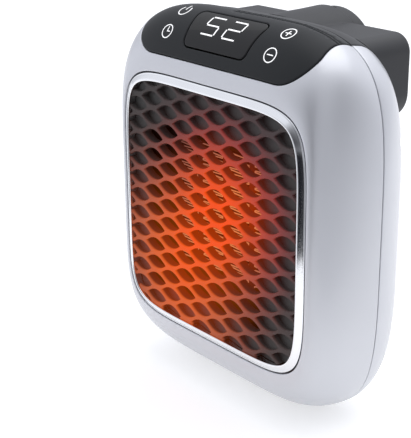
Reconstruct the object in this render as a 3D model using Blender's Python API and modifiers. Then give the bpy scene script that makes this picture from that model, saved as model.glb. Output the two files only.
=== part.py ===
# Plug-in fan heater
#
# A wall-socket heater: two silver shell halves joined at a seam, a dark touch panel on top,
# a square front grille in a bright frame, a ceramic element and an axial fan in a round
# duct, and a turning plug in a housing high on the back. Units are metres, +Z is up and
# the grille faces -Y. The model is laid out from the middle of the bright frame, at the
# front of its outer edge, and one empty then carries all of it, so that the world origin is
# the middle of the face that meets the wall socket, on the axis that the plug turns about.

import math

import bmesh
import bpy
from mathutils import Matrix, Vector

# Driving sizes of the body
FRAME_HALF_WIDTH = 0.05257
FRAME_HALF_HEIGHT = 0.05127
SIDE_BORDER = 0.01048
TOP_BORDER = 0.02473
BOTTOM_BORDER = 0.02273
SEAM_DEPTH = 0.02775
REAR_ROUND_DEPTH = 0.0213
REAR_SIDE_DRAW = 0.0185
REAR_END_DRAW = 0.0235
TOP_FALL = 0.0017
WALL = 0.0022
FRONT_SQUARENESS = 6.1
BODY_SQUARENESS = 4.35
SIDE_ROUND_SHARE = 0.987
TOP_ROUND_SHARE = 0.7135
BOTTOM_ROUND_SHARE = 1.225

# Clearances
FIT_GAP = 0.0003
FRAME_GAP = 0.0004
SHELL_LIP = 0.0004
CUT_OVERRUN = 0.002
JOIN_BITE = 0.0005
AXIS_MERGE = 0.00001

# How finely round things are divided
SHELL_POINTS = 44
FRONT_RING_SHARES = (0.02, 0.09, 0.22, 0.42, 0.68, 1.0)
REAR_RING_SHARES = (0.0, 0.25, 0.5, 0.75, 1.0)
ROUND_STEPS = 32
MEDIUM_STEPS = 24
SMALL_STEPS = 12
WIRE_STEPS = 8
CORNER_STEPS = 5
SLOT_END_STEPS = 2
BLADE_SPANS = 3
BLADE_CHORDS = 3
SEARCH_STEPS = 30

# The body's outer sizes follow the frame
BODY_HALF_WIDTH = FRAME_HALF_WIDTH + SIDE_BORDER
BODY_TOP = FRAME_HALF_HEIGHT + TOP_BORDER
BODY_BOTTOM = -FRAME_HALF_HEIGHT - BOTTOM_BORDER
TURRET_DROP = 0.0235
TURRET_HEIGHT = BODY_TOP - TURRET_DROP
SIDE_ROUND_DEPTH = SEAM_DEPTH * SIDE_ROUND_SHARE
TOP_ROUND_DEPTH = SEAM_DEPTH * TOP_ROUND_SHARE
BOTTOM_ROUND_DEPTH = SEAM_DEPTH * BOTTOM_ROUND_SHARE
BACK_FACE = SEAM_DEPTH + REAR_ROUND_DEPTH
INNER_BACK = BACK_FACE - WALL

# Bright frame and front grille
FRAME_BAND = 0.0032
FRAME_DEPTH = 0.0046
FRAME_LIP_ROUND = 0.0009
FRAME_RISE = 0.0012
GRILLE_INSET = 0.0008
GRILLE_FRONT = GRILLE_INSET - FRAME_RISE
GRILLE_THICKNESS = 0.0042
GRILLE_RIM = 0.0012
GRILLE_BACK = GRILLE_FRONT + GRILLE_THICKNESS
CELL_COLUMN_PITCH = 0.00964
CELL_ROW_PITCH = 0.00762
CELL_HALF_LENGTH = 0.0058
CELL_SHOULDER = 0.0024
CELL_HALF_HEIGHT = 0.0025
CELL_RISE = 0.0006
CELL_ROW_SHARE = 0.25
CELL_LEAST_AREA = 0.000006
OPEN_CELL_MARGIN = 0.0010

# Touch panel and its window. Places along and above the 45 degree top slope are measured
# from the middle of the bright frame's top edge.
PANEL_SIDE_INSET = 0.01465
PANEL_SEAM_INSET = 0.01775
PANEL_LOW_EDGE = 0.00555
PANEL_CORNER = 0.0135
PANEL_WIDEST = 0.01975
PANEL_HALF_WIDTH = BODY_HALF_WIDTH - PANEL_SIDE_INSET
PANEL_SEAM_HALF_WIDTH = BODY_HALF_WIDTH - PANEL_SEAM_INSET
WINDOW_LOW_EDGE = 0.01055
WINDOW_HIGH_EDGE = 0.02685
WINDOW_LOW_HALF_WIDTH = 0.0171
WINDOW_FLARE = 0.0023
WINDOW_HIGH_HALF_WIDTH = WINDOW_LOW_HALF_WIDTH + WINDOW_FLARE
WINDOW_CORNER = 0.0028
PAD_SIDE_INSET = 0.0193
PAD_HALF_SPACING = PANEL_HALF_WIDTH - PAD_SIDE_INSET
HIGH_PAD_PLACE = 0.02485
LOW_PAD_PLACE = 0.01385
PAD_RADIUS = 0.0035
PAD_CLEARANCE = 0.0010
PAD_THICKNESS = 0.0019

# Control board under the slope
CONTROL_BOARD_THICKNESS = 0.0014
CONTROL_BOARD_INSET = 0.0086
CONTROL_BOARD_HALF_WIDTH = PANEL_HALF_WIDTH - CONTROL_BOARD_INSET
CONTROL_BOARD_LOW = 0.00975
CONTROL_BOARD_HIGH = 0.02625
DISPLAY_INSET = 0.0016
DISPLAY_HALF_WIDTH = WINDOW_LOW_HALF_WIDTH - DISPLAY_INSET
DISPLAY_LOW = WINDOW_LOW_EDGE + DISPLAY_INSET
DISPLAY_HIGH = WINDOW_HIGH_EDGE - DISPLAY_INSET
POST_RADIUS = 0.0024
POST_INSET = 0.0036
POST_HALF_SPACING = CONTROL_BOARD_HALF_WIDTH - POST_INSET
POST_PLACE = 0.01925

# Air path: baffle, duct and element, from the grille backwards
AIR_BORDER = 0.00827
AIR_RADIUS = min(FRAME_HALF_WIDTH, FRAME_HALF_HEIGHT) - AIR_BORDER
BAFFLE_SIDE_SET = 0.0008
BAFFLE_END_SET = 0.0007
BAFFLE_HALF_WIDTH = FRAME_HALF_WIDTH - BAFFLE_SIDE_SET
BAFFLE_HALF_HEIGHT = FRAME_HALF_HEIGHT + BAFFLE_END_SET
BAFFLE_THICKNESS = 0.0015
BAFFLE_STAND = 0.0021
BAFFLE_FRONT = GRILLE_BACK + BAFFLE_STAND
BAFFLE_BACK = BAFFLE_FRONT + BAFFLE_THICKNESS
DUCT_WALL = 0.0015
DUCT_OUTER = AIR_RADIUS + DUCT_WALL
DUCT_FRONT = BAFFLE_BACK + FIT_GAP
HOLDER_SET_BACK = 0.0009
HOLDER_FRONT = DUCT_FRONT + HOLDER_SET_BACK
HOLDER_DEPTH = 0.0110
HOLDER_BACK = HOLDER_FRONT + HOLDER_DEPTH
DUCT_TAIL = 0.0014
DUCT_END = HOLDER_BACK + DUCT_TAIL
FIN_COLUMNS = 4
FIN_WIDTH_SHARE = 0.279
FIN_HEIGHT_SHARE = 1.21
FIN_WIDTH = AIR_RADIUS * FIN_WIDTH_SHARE
FIN_HEIGHT = AIR_RADIUS * FIN_HEIGHT_SHARE
FIN_PITCH = 0.0052
FIN_FLAT = 0.0014
FIN_SHEET = 0.0004
BAR_WIDTH = 0.0026
TERMINAL_WIDTH = 0.0050
TERMINAL_SHEET = 0.0008

# Fan, from the back cover forwards
SHROUD_STEP = 0.0040
SHROUD_RADIUS = AIR_RADIUS - SHROUD_STEP
SHROUD_WALL = 0.0020
SHROUD_OUTER = SHROUD_RADIUS + SHROUD_WALL
SHROUD_FLANGE = 0.0020
SHROUD_FRONT = DUCT_END + FIT_GAP
SHROUD_END = INNER_BACK - FIT_GAP
MOTOR_RADIUS = 0.0120
MOTOR_DEPTH = 0.0098
MOTOR_BACK_GAP = 0.0004
MOTOR_FRONT = SHROUD_END - MOTOR_BACK_GAP - MOTOR_DEPTH
MOTOR_CAN_ROUND = 0.0012
SHAFT_RADIUS = 0.0010
SHAFT_BURIED = 0.0037
SHAFT_WELL_SPARE = 0.0010
SHAFT_END = MOTOR_FRONT + SHAFT_BURIED
MOTOR_SHAFT_WELL = SHAFT_END + SHAFT_WELL_SPARE
BRACKET_SET_BACK = 0.0037
BRACKET_FRONT = MOTOR_FRONT + BRACKET_SET_BACK
BRACKET_DEPTH = 0.0030
BRACKET_RING = 0.0024
BRACKET_ARM_WIDTH = 0.0040
BRACKET_ARMS = 3
HUB_GAP = 0.0008
IMPELLER_DEPTH = 0.0085
IMPELLER_FRONT = MOTOR_FRONT - HUB_GAP - IMPELLER_DEPTH
TIP_CLEARANCE = 0.0014
IMPELLER_RADIUS = SHROUD_RADIUS - TIP_CLEARANCE
HUB_RADIUS = 0.0112
HUB_FACE = 0.0018
SHAFT_FRONT = IMPELLER_FRONT + HUB_FACE
BLADE_COUNT = 7
BLADE_SHEET = 0.0012
BLADE_ROOT_ANGLE = 48.0
BLADE_TIP_ANGLE = 24.0
MOTOR_LEAD_RADIUS = 0.0006
MOTOR_LEAD_SPACING = 0.0025
LEAD_NOTCH_HALF_WIDTH = 0.0050
LEAD_NOTCH_DEPTH = 0.0030

# Heat guards on the element's back, in the room before the fan
DEVICE_ROOM = IMPELLER_FRONT - HOLDER_BACK
CUTOUT_DEPTH_SHARE = 0.6
FUSE_RADIUS_SHARE = 0.2
CUTOUT_DEPTH = DEVICE_ROOM * CUTOUT_DEPTH_SHARE
FUSE_RADIUS = DEVICE_ROOM * FUSE_RADIUS_SHARE
FUSE_LENGTH = 0.0110
DEVICE_SIDE_GAP = 0.0006
DEVICE_EDGE_ROUND = 0.0008

# Power board and what stands on it
BOARD_DROP = 0.0025
POWER_BOARD_Z = TURRET_HEIGHT - BOARD_DROP
POWER_BOARD_THICKNESS = 0.0016
POWER_BOARD_HALF_WIDTH = 0.0340
POWER_BOARD_FRONT_SET = 0.0033
POWER_BOARD_REAR_SET = 0.0038
POWER_BOARD_FRONT = DUCT_FRONT + POWER_BOARD_FRONT_SET
POWER_BOARD_REAR = INNER_BACK - POWER_BOARD_REAR_SET
TERMINAL_STAND = 0.0030
TERMINAL_TOP = POWER_BOARD_Z + TERMINAL_STAND
LEDGE_PLACE_SHARE = 0.6
LEDGE_FOOT_SHARE = 0.5
LEDGE_PLACE = SHROUD_RADIUS * LEDGE_PLACE_SHARE
LEDGE_FOOT = SHROUD_RADIUS * LEDGE_FOOT_SHARE
LEDGE_WIDTH = 0.0040
LEDGE_FRONT_SET = 0.0047
LEDGE_REAR_SET = 0.0065
LEDGE_FRONT = SHROUD_FRONT + LEDGE_FRONT_SET
LEDGE_REAR = SHROUD_END - LEDGE_REAR_SET
RELAY_SIZE = (0.0185, 0.0105, 0.0100)
RELAY_PLACE = (-0.0160, 0.0090)
CAPACITOR_SIZE = (0.0130, 0.0060, 0.0090)
CAPACITOR_PLACE = (0.0180, 0.0100)
PART_BEVEL = 0.0004

# The turning plug's radii, from its blades and slip rings outwards
BLADE_SPACING = 0.0127
PIN_THICKNESS = 0.0015
RING_SPACING = 0.00585
OUTER_TAB_INSET = 0.0021
NECK_WALL = 0.0017
NECK_STEP = 0.0048
TURRET_EDGE = 0.0007
INNER_TAB_PLACE = BLADE_SPACING / 2.0
OUTER_TAB_PLACE = INNER_TAB_PLACE + RING_SPACING
NECK_RECESS_RADIUS = OUTER_TAB_PLACE + OUTER_TAB_INSET
NECK_RADIUS = NECK_RECESS_RADIUS + NECK_WALL
TURRET_RADIUS = NECK_RADIUS + NECK_STEP
BOSS_RADIUS = TURRET_RADIUS + TURRET_EDGE

# Plug housing on the back
BOSS_BELOW = 0.0055
BOSS_ABOVE = 0.0046
HOUSING_BOTTOM = TURRET_HEIGHT - BOSS_RADIUS + BOSS_BELOW
HOUSING_TOP = TURRET_HEIGHT + BOSS_RADIUS - BOSS_ABOVE
HOUSING_SIDE_SET = 0.0008
HOUSING_HALF_WIDTH = PANEL_SEAM_HALF_WIDTH - HOUSING_SIDE_SET
HOUSING_TOP_CORNER = 0.0070
HOUSING_LOW_CORNER = 0.0110
HOUSING_FRONT = SEAM_DEPTH + WALL
HOUSING_REACH = 0.01095
HOUSING_BACK = BACK_FACE + HOUSING_REACH
HOUSING_BEVEL = 0.0010
BOSS_SET_BACK = 0.0010
BOSS_STEP = 0.0015
BOSS_FRONT = BACK_FACE + BOSS_SET_BACK
BOSS_BACK = HOUSING_BACK + BOSS_STEP

# The turning plug
TURRET_GAP = 0.0008
TURRET_STAND = 0.0065
TURRET_BACK = BOSS_BACK + TURRET_STAND
TURRET_ROUND = 0.0008
NECK_FRONT = HOUSING_BACK - WALL - FIT_GAP
NECK_RECESS_DEPTH = 0.0028
NECK_RECESS_END = NECK_FRONT + NECK_RECESS_DEPTH
RETAINER_EDGE = 0.0005
RETAINER_THICKNESS = 0.0018
RETAINER_RADIUS = BOSS_RADIUS - WALL - RETAINER_EDGE
RETAINER_BACK = NECK_FRONT - FIT_GAP
RETAINER_FRONT = RETAINER_BACK - RETAINER_THICKNESS
NOTCH_WIDTH = 0.0030
NOTCH_DEPTH = 0.0014
NOTCH_LENGTH = 0.0024
PIN_WIDTH = 0.0063
PIN_LENGTH = 0.0165
PIN_TIP_BEVEL = 0.0005
LINK_SET_BACK = 0.0008
LINK_FRONT = NECK_FRONT + LINK_SET_BACK
LINK_BACK = LINK_FRONT + PIN_THICKNESS
LINK_HALF_HEIGHT = 0.0020
RING_THICKNESS = 0.0008
RING_WIDTH_SHARE = 0.41
BRUSH_RADIUS_SHARE = 0.22
RING_WIDTH = RING_SPACING * RING_WIDTH_SHARE
BRUSH_RADIUS = RING_SPACING * BRUSH_RADIUS_SHARE
CONTACT_BOARD_HALF_WIDTH = 0.0160
CONTACT_BOARD_INSET = 0.0082
CONTACT_BOARD_HEIGHT = 0.0108
CONTACT_BOARD_BOTTOM = TURRET_HEIGHT - BOSS_RADIUS + CONTACT_BOARD_INSET
CONTACT_BOARD_TOP = CONTACT_BOARD_BOTTOM + CONTACT_BOARD_HEIGHT
CONTACT_BOARD_THICKNESS = 0.0015
SUPPLY_LEAD_RADIUS = 0.0009
SUPPLY_LEAD_PLACE = 0.0100
SUPPLY_LEAD_DROP = 0.0075
SUPPLY_LEAD_HEIGHT = TURRET_HEIGHT - SUPPLY_LEAD_DROP

# Rear cover and its air inlet
COVER_BORDER = 0.0250
COVER_BOTTOM = BODY_BOTTOM + COVER_BORDER
COVER_HALF_WIDTH = PANEL_SEAM_HALF_WIDTH
COVER_CORNER = 0.0135
INLET_BORDER = 0.0085
INLET_RADIUS = AIR_RADIUS - INLET_BORDER
INLET_SLOT = 0.0032
INLET_PITCH = 0.0062
INLET_RIB = 0.0030
SLOT_END_SHARE = 0.9

# Screws
CASE_SCREW_INSET = 0.00755
CASE_SCREW_LEVEL_INSET = 0.01627
CASE_SCREW_X = BODY_HALF_WIDTH - CASE_SCREW_INSET
CASE_SCREW_Z = FRAME_HALF_HEIGHT - CASE_SCREW_LEVEL_INSET
CASE_POST_RADIUS = 0.0032
CASE_WELL_POST_RADIUS = 0.0040
CASE_WELL_RADIUS = 0.0030
CASE_SEAT_DEPTH = 0.00525
CASE_WELL_FLOOR = SEAM_DEPTH + CASE_SEAT_DEPTH
CASE_HOLE_LENGTH = 0.01475
CASE_HOLE_END = SEAM_DEPTH - CASE_HOLE_LENGTH
CASE_POST_TIP = 0.0050
CASE_POST_FRONT = CASE_HOLE_END - CASE_POST_TIP
CASE_SHANK_SPARE = 0.0020
CASE_SHANK_END = CASE_HOLE_END + CASE_SHANK_SPARE
CASE_SHANK_RADIUS = 0.0012
CASE_HOLE_RADIUS = CASE_SHANK_RADIUS + FIT_GAP
CASE_HEAD_RADIUS = 0.0026
CASE_HEAD_HEIGHT = 0.0020
CASE_POST_COLLAR = 0.0050
CASE_POST_LEAST_END = CASE_WELL_FLOOR + CASE_POST_COLLAR
HOUSING_SCREW_INSET = 0.0090
HOUSING_SCREW_DROP = 0.0085
HOUSING_SCREW_X = HOUSING_HALF_WIDTH - HOUSING_SCREW_INSET
HOUSING_SCREW_Z = TURRET_HEIGHT - HOUSING_SCREW_DROP
HOUSING_POST_RADIUS = 0.0034
HOUSING_SCREW_SPARE = 0.0040
HOUSING_SCREW_END = HOUSING_BACK - HOUSING_SCREW_SPARE
SMALL_HEAD_RADIUS = 0.0019
SMALL_HEAD_HEIGHT = 0.0012
SMALL_SHANK_RADIUS = 0.0008
SMALL_HOLE_RADIUS = SMALL_SHANK_RADIUS + FIT_GAP
BOARD_SCREW_LENGTH = 0.0050
RETAINER_HEAD_RADIUS = BRUSH_RADIUS
RETAINER_SHANK_SHARE = 0.46
RETAINER_SHANK_RADIUS = RETAINER_HEAD_RADIUS * RETAINER_SHANK_SHARE
RETAINER_HOLE_RADIUS = RETAINER_SHANK_RADIUS + FIT_GAP
RETAINER_POST_WALL = 0.0011
RETAINER_POST_RADIUS = RETAINER_HOLE_RADIUS + RETAINER_POST_WALL
RETAINER_SCREW_RADIUS = INNER_TAB_PLACE + RING_SPACING / 2.0
RETAINER_SCREW_BITE = 0.0037
RETAINER_SCREW_END = NECK_RECESS_END + RETAINER_SCREW_BITE
RECESS_SHARE = 0.45
RECESS_DEPTH_SHARE = 0.5

# Axes, turns and the reach of cuts square to the top slope
SLOPE_REACH = TOP_BORDER
ORIGIN_PLACE = Vector((0.0, -TURRET_BACK, -TURRET_HEIGHT))
SLOPE = math.radians(45.0)
AIR_AXIS = (0.0, 0.0)
TURRET_AXIS = (0.0, TURRET_HEIGHT)

# Pieces that need the solver for cuts running close along an edge
CLOSE_CUTS = ("front_shell", "touch_panel", "plug_housing")


def clear_scene():
    """Empty the file of whatever it opened with."""
    for obj in list(bpy.data.objects):
        bpy.data.objects.remove(obj, do_unlink=True)


clear_scene()
PARTS = bpy.data.collections.new("fan_heater")
CUTTERS = bpy.data.collections.new("cutters")
for group in (PARTS, CUTTERS):
    bpy.context.scene.collection.children.link(group)


def empty(name, spot, parent=None):
    """An empty that carries pieces."""
    made = bpy.data.objects.new(name, None)
    made.location = spot
    made.parent = parent
    PARTS.objects.link(made)
    return made


TURN_AXIS = empty("turn_axis", (0.0, 0.0, 0.0))
ORIGIN = empty("heater_origin", ORIGIN_PLACE, TURN_AXIS)


def material(name, finish, colour, roughness, metallic=0.0):
    """One piece's own material: colour, roughness and how metallic it is."""
    made = bpy.data.materials.new(name + "_" + finish)
    made.use_nodes = True
    shader = made.node_tree.nodes["Principled BSDF"]
    shader.inputs["Base Color"].default_value = (*colour, 1.0)
    shader.inputs["Roughness"].default_value = roughness
    shader.inputs["Metallic"].default_value = metallic
    return made


SILVER = ("silver_paint", (0.62, 0.63, 0.69), 0.3)
CHARCOAL = ("charcoal_plastic", (0.045, 0.047, 0.052), 0.45)
GLOSS_BLACK = ("gloss_window", (0.02, 0.021, 0.024), 0.08)
CHROME = ("bright_frame", (0.85, 0.86, 0.87), 0.1, 1.0)
GRILLE_GREY = ("grille_plastic", (0.06, 0.055, 0.055), 0.6)
HEAT_PLASTIC = ("heatproof_plastic", (0.09, 0.08, 0.07), 0.6)
ALUMINIUM = ("aluminium", (0.75, 0.75, 0.76), 0.35, 1.0)
CERAMIC = ("ceramic", (0.35, 0.33, 0.3), 0.7)
BRASS = ("brass", (0.72, 0.55, 0.25), 0.3, 1.0)
STEEL = ("steel", (0.6, 0.6, 0.62), 0.3, 1.0)
BOARD_GREEN = ("board", (0.03, 0.16, 0.07), 0.5)
PART_BLUE = ("component_blue", (0.05, 0.13, 0.4), 0.45)
FAN_WHITE = ("fan_plastic", (0.5, 0.5, 0.48), 0.5)
CONTACT_FOAM = ("contact_foam", (0.08, 0.08, 0.08), 0.8)
LEAD_RED = ("lead_sleeve", (0.5, 0.03, 0.02), 0.5)
CARBON = ("carbon_brush", (0.03, 0.03, 0.03), 0.6)


def place(mesh, name, finish, spot=(0.0, 0.0, 0.0), helper=False):
    """Put a mesh in the scene as a part, or as a cutter that no render shows."""
    obj = bpy.data.objects.new(name, mesh)
    (CUTTERS if helper else PARTS).objects.link(obj)
    obj.parent = ORIGIN
    obj.location = spot
    if helper:
        obj.hide_render = True
        obj.display_type = "WIRE"
    else:
        obj.data.materials.append(material(name, *finish))
    return obj


def carry(name, spot, prefixes):
    """Hang the pieces with these names on an empty that sits on the axis they turn about."""
    carrier = empty(name, spot, ORIGIN)
    for piece in PARTS.objects:
        if piece.type != "EMPTY" and piece.name.startswith(prefixes):
            piece.parent = carrier
            piece.location = piece.location - carrier.location


def mesh_from(bm, name, smooth=True):
    """Turn a bmesh into mesh data with sharp corners kept sharp."""
    bmesh.ops.recalc_face_normals(bm, faces=bm.faces)
    mesh = bpy.data.meshes.new(name)
    bm.to_mesh(mesh)
    bm.free()
    if smooth:
        mesh.shade_smooth()
        mesh.set_sharp_from_angle(angle=math.radians(35.0))
    return mesh


def box(name, low, high, finish=None, helper=False, bevel=0.0):
    """A box between two corners, its origin at its middle."""
    low, high = Vector(low), Vector(high)
    bm = bmesh.new()
    bmesh.ops.create_cube(bm, size=1.0)
    bmesh.ops.scale(bm, vec=high - low, verts=bm.verts)
    obj = place(mesh_from(bm, name), name, finish, (low + high) / 2.0, helper)
    if bevel:
        soften(obj, bevel)
    return obj


def soften(obj, width, segments=1):
    """Round an object's sharp edges."""
    modifier = obj.modifiers.new("edge_rounding", "BEVEL")
    modifier.width = width
    modifier.segments = segments
    modifier.limit_method = "ANGLE"
    modifier.angle_limit = math.radians(50.0)
    return modifier


def cylinder(name, radius, front, back, axis=AIR_AXIS, finish=None, steps=ROUND_STEPS, helper=False):
    """A cylinder along Y from front to back, its origin on its axis at the front."""
    bm = bmesh.new()
    bmesh.ops.create_cone(bm, cap_ends=True, segments=steps, radius1=radius, radius2=radius,
                          depth=back - front)
    bmesh.ops.rotate(bm, verts=bm.verts, matrix=Matrix.Rotation(math.radians(90.0), 3, "X"))
    bmesh.ops.translate(bm, verts=bm.verts, vec=(0.0, (back - front) / 2.0, 0.0))
    return place(mesh_from(bm, name), name, finish, (axis[0], front, axis[1]), helper)


def turned(name, profile, axis=AIR_AXIS, finish=None, steps=ROUND_STEPS, ring=False, helper=False):
    """A turned piece about Y. The profile's points are (radius, depth), back to front."""
    bm = bmesh.new()
    start = profile[0][1]
    points = [bm.verts.new((radius, 0.0, depth - start)) for radius, depth in profile]
    for first, second in zip(points, points[1:] + (points[:1] if ring else [])):
        bm.edges.new((first, second))
    mesh = bpy.data.meshes.new(name)
    bm.to_mesh(mesh)
    bm.free()
    obj = place(mesh, name, finish, (axis[0], start, axis[1]), helper)
    obj.rotation_euler = (math.radians(-90.0), 0.0, 0.0)
    screw = obj.modifiers.new("turn", "SCREW")
    screw.steps = steps
    screw.render_steps = steps
    screw.use_merge_vertices = True
    screw.merge_threshold = AXIS_MERGE
    screw.use_smooth_shade = True
    return obj


def prism(name, outline, low, high, on_slope=False, finish=None, helper=False):
    """An outline of (across, up) points drawn out from low to high along -Y.

    On the slope, the outline lies on the top slope and is drawn out square to it.
    """
    bm = bmesh.new()
    ground = [bm.verts.new((across, up, low)) for across, up in outline]
    face = bm.faces.new(ground)
    drawn = bmesh.ops.extrude_face_region(bm, geom=[face])["geom"]
    moved = [item for item in drawn if isinstance(item, bmesh.types.BMVert)]
    bmesh.ops.translate(bm, verts=moved, vec=(0.0, 0.0, high - low))
    angle = SLOPE if on_slope else math.radians(90.0)
    bmesh.ops.rotate(bm, verts=bm.verts, matrix=Matrix.Rotation(angle, 3, "X"))
    spot = slope_point(0.0, 0.0, 0.0) if on_slope else (0.0, 0.0, 0.0)
    return place(mesh_from(bm, name), name, finish, spot, helper)


def slope_point(across, along, above):
    """A point given on the top slope's own directions, from the frame's top edge."""
    root = math.sqrt(2.0)
    return Vector((across, (along - above) / root, FRAME_HALF_HEIGHT + (along + above) / root))


def rounded_outline(corners, steps=CORNER_STEPS):
    """Points of a polygon whose corners, each (x, y, radius), are rounded by arcs."""
    points = []
    count = len(corners)
    for index, (x, y, radius) in enumerate(corners):
        here = Vector((x, y))
        back = (Vector(corners[index - 1][:2]) - here).normalized()
        ahead = (Vector(corners[(index + 1) % count][:2]) - here).normalized()
        if not radius:
            points.append(tuple(here))
            continue
        half = back.angle(ahead) / 2.0
        centre = here + (back + ahead).normalized() * radius / math.sin(half)
        start = here + back * radius / math.tan(half) - centre
        end = here + ahead * radius / math.tan(half) - centre
        sweep = start.angle_signed(end)
        for step in range(steps + 1):
            arm = Matrix.Rotation(-sweep * step / steps, 2) @ start
            points.append(tuple(centre + arm))
    return points


def superellipse(half_width, top, bottom, squareness, count=SHELL_POINTS):
    """A rounded square outline of (x, z) points, squarer as its power rises."""
    middle, half_height = (top + bottom) / 2.0, (top - bottom) / 2.0
    points = []
    for index in range(count):
        angle = 2.0 * math.pi * index / count
        cosine, sine = math.cos(angle), math.sin(angle)
        across = math.copysign(abs(cosine) ** (2.0 / squareness), cosine)
        up = math.copysign(abs(sine) ** (2.0 / squareness), sine)
        points.append((half_width * across, middle + half_height * up))
    return points


def inset_outline(points, distance):
    """The same closed outline, moved inwards along its normals."""
    moved = []
    for index, here in enumerate(points):
        back, ahead = Vector(points[index - 1]), Vector(points[(index + 1) % len(points)])
        along = (ahead - back).normalized()
        moved.append((here[0] - along.y * distance, here[1] + along.x * distance))
    return moved


def quarter(depth, reach):
    """How far a quarter ellipse has risen at a depth, 1 from its reach on."""
    left = max(0.0, 1.0 - depth / reach)
    return math.sqrt(1.0 - left * left)


def front_section(depth):
    """Half width, top, bottom and squareness of the front shell at a depth."""
    edge = FRAME_GAP + SHELL_LIP
    start = FRAME_HALF_WIDTH + edge, FRAME_HALF_HEIGHT + edge
    half_width = start[0] + (BODY_HALF_WIDTH - start[0]) * quarter(depth, SIDE_ROUND_DEPTH)
    top = start[1] + (BODY_TOP - start[1]) * quarter(depth, TOP_ROUND_DEPTH)
    past = max(0.0, depth - TOP_ROUND_DEPTH) / (SEAM_DEPTH - TOP_ROUND_DEPTH)
    top -= TOP_FALL * past * past
    bottom = -start[1] + (BODY_BOTTOM + start[1]) * quarter(depth, BOTTOM_ROUND_DEPTH)
    blend = math.sqrt(depth / SEAM_DEPTH)
    return half_width, top, bottom, FRONT_SQUARENESS + (BODY_SQUARENESS - FRONT_SQUARENESS) * blend


def rear_section(share, grow=0.0):
    """Depth, half width, top, bottom of the rear shell, share of the turn from the seam."""
    angle = share * math.pi / 2.0
    drawn = 1.0 - math.cos(angle)
    half_width, top, bottom, _ = front_section(SEAM_DEPTH)
    return (SEAM_DEPTH + (REAR_ROUND_DEPTH + grow) * math.sin(angle),
            half_width - REAR_SIDE_DRAW * drawn + grow,
            top - REAR_END_DRAW * drawn + grow,
            bottom + REAR_END_DRAW * drawn - grow)


def skin_above(across, along):
    """How high the front half's outer surface stands above the top slope at a place."""
    inside, outside = -TOP_BORDER, TOP_BORDER
    for _ in range(SEARCH_STEPS):
        middle = (inside + outside) / 2.0
        _, depth, up = slope_point(across, along, middle)
        half_width, top, bottom, power = front_section(min(max(depth, 0.0), SEAM_DEPTH))
        rise = (2.0 * up - top - bottom) / (top - bottom)
        if depth > 0.0 and (abs(across) / half_width) ** power + abs(rise) ** power < 1.0:
            inside = middle
        else:
            outside = middle
    return inside


def top_under_skin(across, half_width, low, high):
    """Where a thing under the panel ends, just short of the panel's inner face."""
    corners = [(across + side * half_width, along) for side in (-1.0, 1.0) for along in (low, high)]
    return min(skin_above(*corner) for corner in corners) - WALL - PAD_CLEARANCE


def skin(name, rings, close_back, finish, helper=False, close_front=False):
    """A surface through rings of points, each (depth, outline), from front to back."""
    bm = bmesh.new()
    loops = []
    for depth, outline in rings:
        loops.append([bm.verts.new((x, depth, z)) for x, z in outline])
    for near, far in zip(loops, loops[1:]):
        for index in range(len(near)):
            after = (index + 1) % len(near)
            bm.faces.new((near[index], near[after], far[after], far[index]))
    if close_back:
        bm.faces.new(loops[-1])
    if close_front:
        bm.faces.new(loops[0])
    return place(mesh_from(bm, name), name, finish, helper=helper)


def thicken(obj, thickness):
    """Give a surface its wall on the inner side."""
    solid = obj.modifiers.new("wall", "SOLIDIFY")
    solid.thickness = thickness
    solid.offset = -1.0
    solid.use_even_offset = True
    return solid


def boolean(obj, other, operation="DIFFERENCE"):
    """Cut, join or keep the overlap with another object.

    The pieces in CLOSE_CUTS have cut edges that run almost along their own edges.
    """
    step = obj.modifiers.new(operation.lower() + "_" + other.name, "BOOLEAN")
    step.operation = operation
    step.object = other
    step.solver = "MANIFOLD" if obj.name in CLOSE_CUTS else "EXACT"
    return step


def cut_cylinder(obj, name, radius, front, back, axis, steps=SMALL_STEPS):
    """Drill a hole along Y."""
    boolean(obj, cylinder("cut_" + name, radius, front, back, axis, steps=steps, helper=True))


def frame_outline(grow):
    """The bright frame's outer outline, larger all round by grow."""
    outline = superellipse(FRAME_HALF_WIDTH, FRAME_HALF_HEIGHT, -FRAME_HALF_HEIGHT,
                           FRONT_SQUARENESS)
    return inset_outline(outline, -grow)


def front_skin(name, finish, helper=False):
    """The front half's outer surface, from inside the frame's edge to the seam."""
    rings = [(0.0, frame_outline(-CUT_OVERRUN)), (0.0, frame_outline(FRAME_GAP + SHELL_LIP))]
    for share in FRONT_RING_SHARES:
        depth = share * SEAM_DEPTH
        rings.append((depth, superellipse(*front_section(depth))))
    rings.append((SEAM_DEPTH + CUT_OVERRUN, rings[-1][1]))
    return skin(name, rings, False, finish, helper)


def rear_skin(name, finish, front, grow=0.0, helper=False):
    """The rear half's outer surface, with its flat back."""
    rings = []
    for share in REAR_RING_SHARES:
        depth, half_width, top, bottom = rear_section(share, grow)
        rings.append((depth, superellipse(half_width, top, bottom, BODY_SQUARENESS)))
    rings.insert(0, (front, rings[0][1]))
    return skin(name, rings, True, finish, helper, close_front=bool(grow))


def walled_half(name, finish, front):
    """One half of the case as a wall, cut square where the halves meet."""
    ahead, behind = (SEAM_DEPTH, BACK_FACE) if front else (-CUT_OVERRUN, SEAM_DEPTH + FIT_GAP)
    if front:
        half = front_skin(name, finish)
    else:
        half = rear_skin(name, finish, SEAM_DEPTH - CUT_OVERRUN)
    thicken(half, WALL)
    reach = 2.0 * BODY_TOP
    boolean(half, box("cut_seam_" + name, (-reach, ahead, -reach), (reach, behind, reach),
                      helper=True))
    return half


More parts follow.
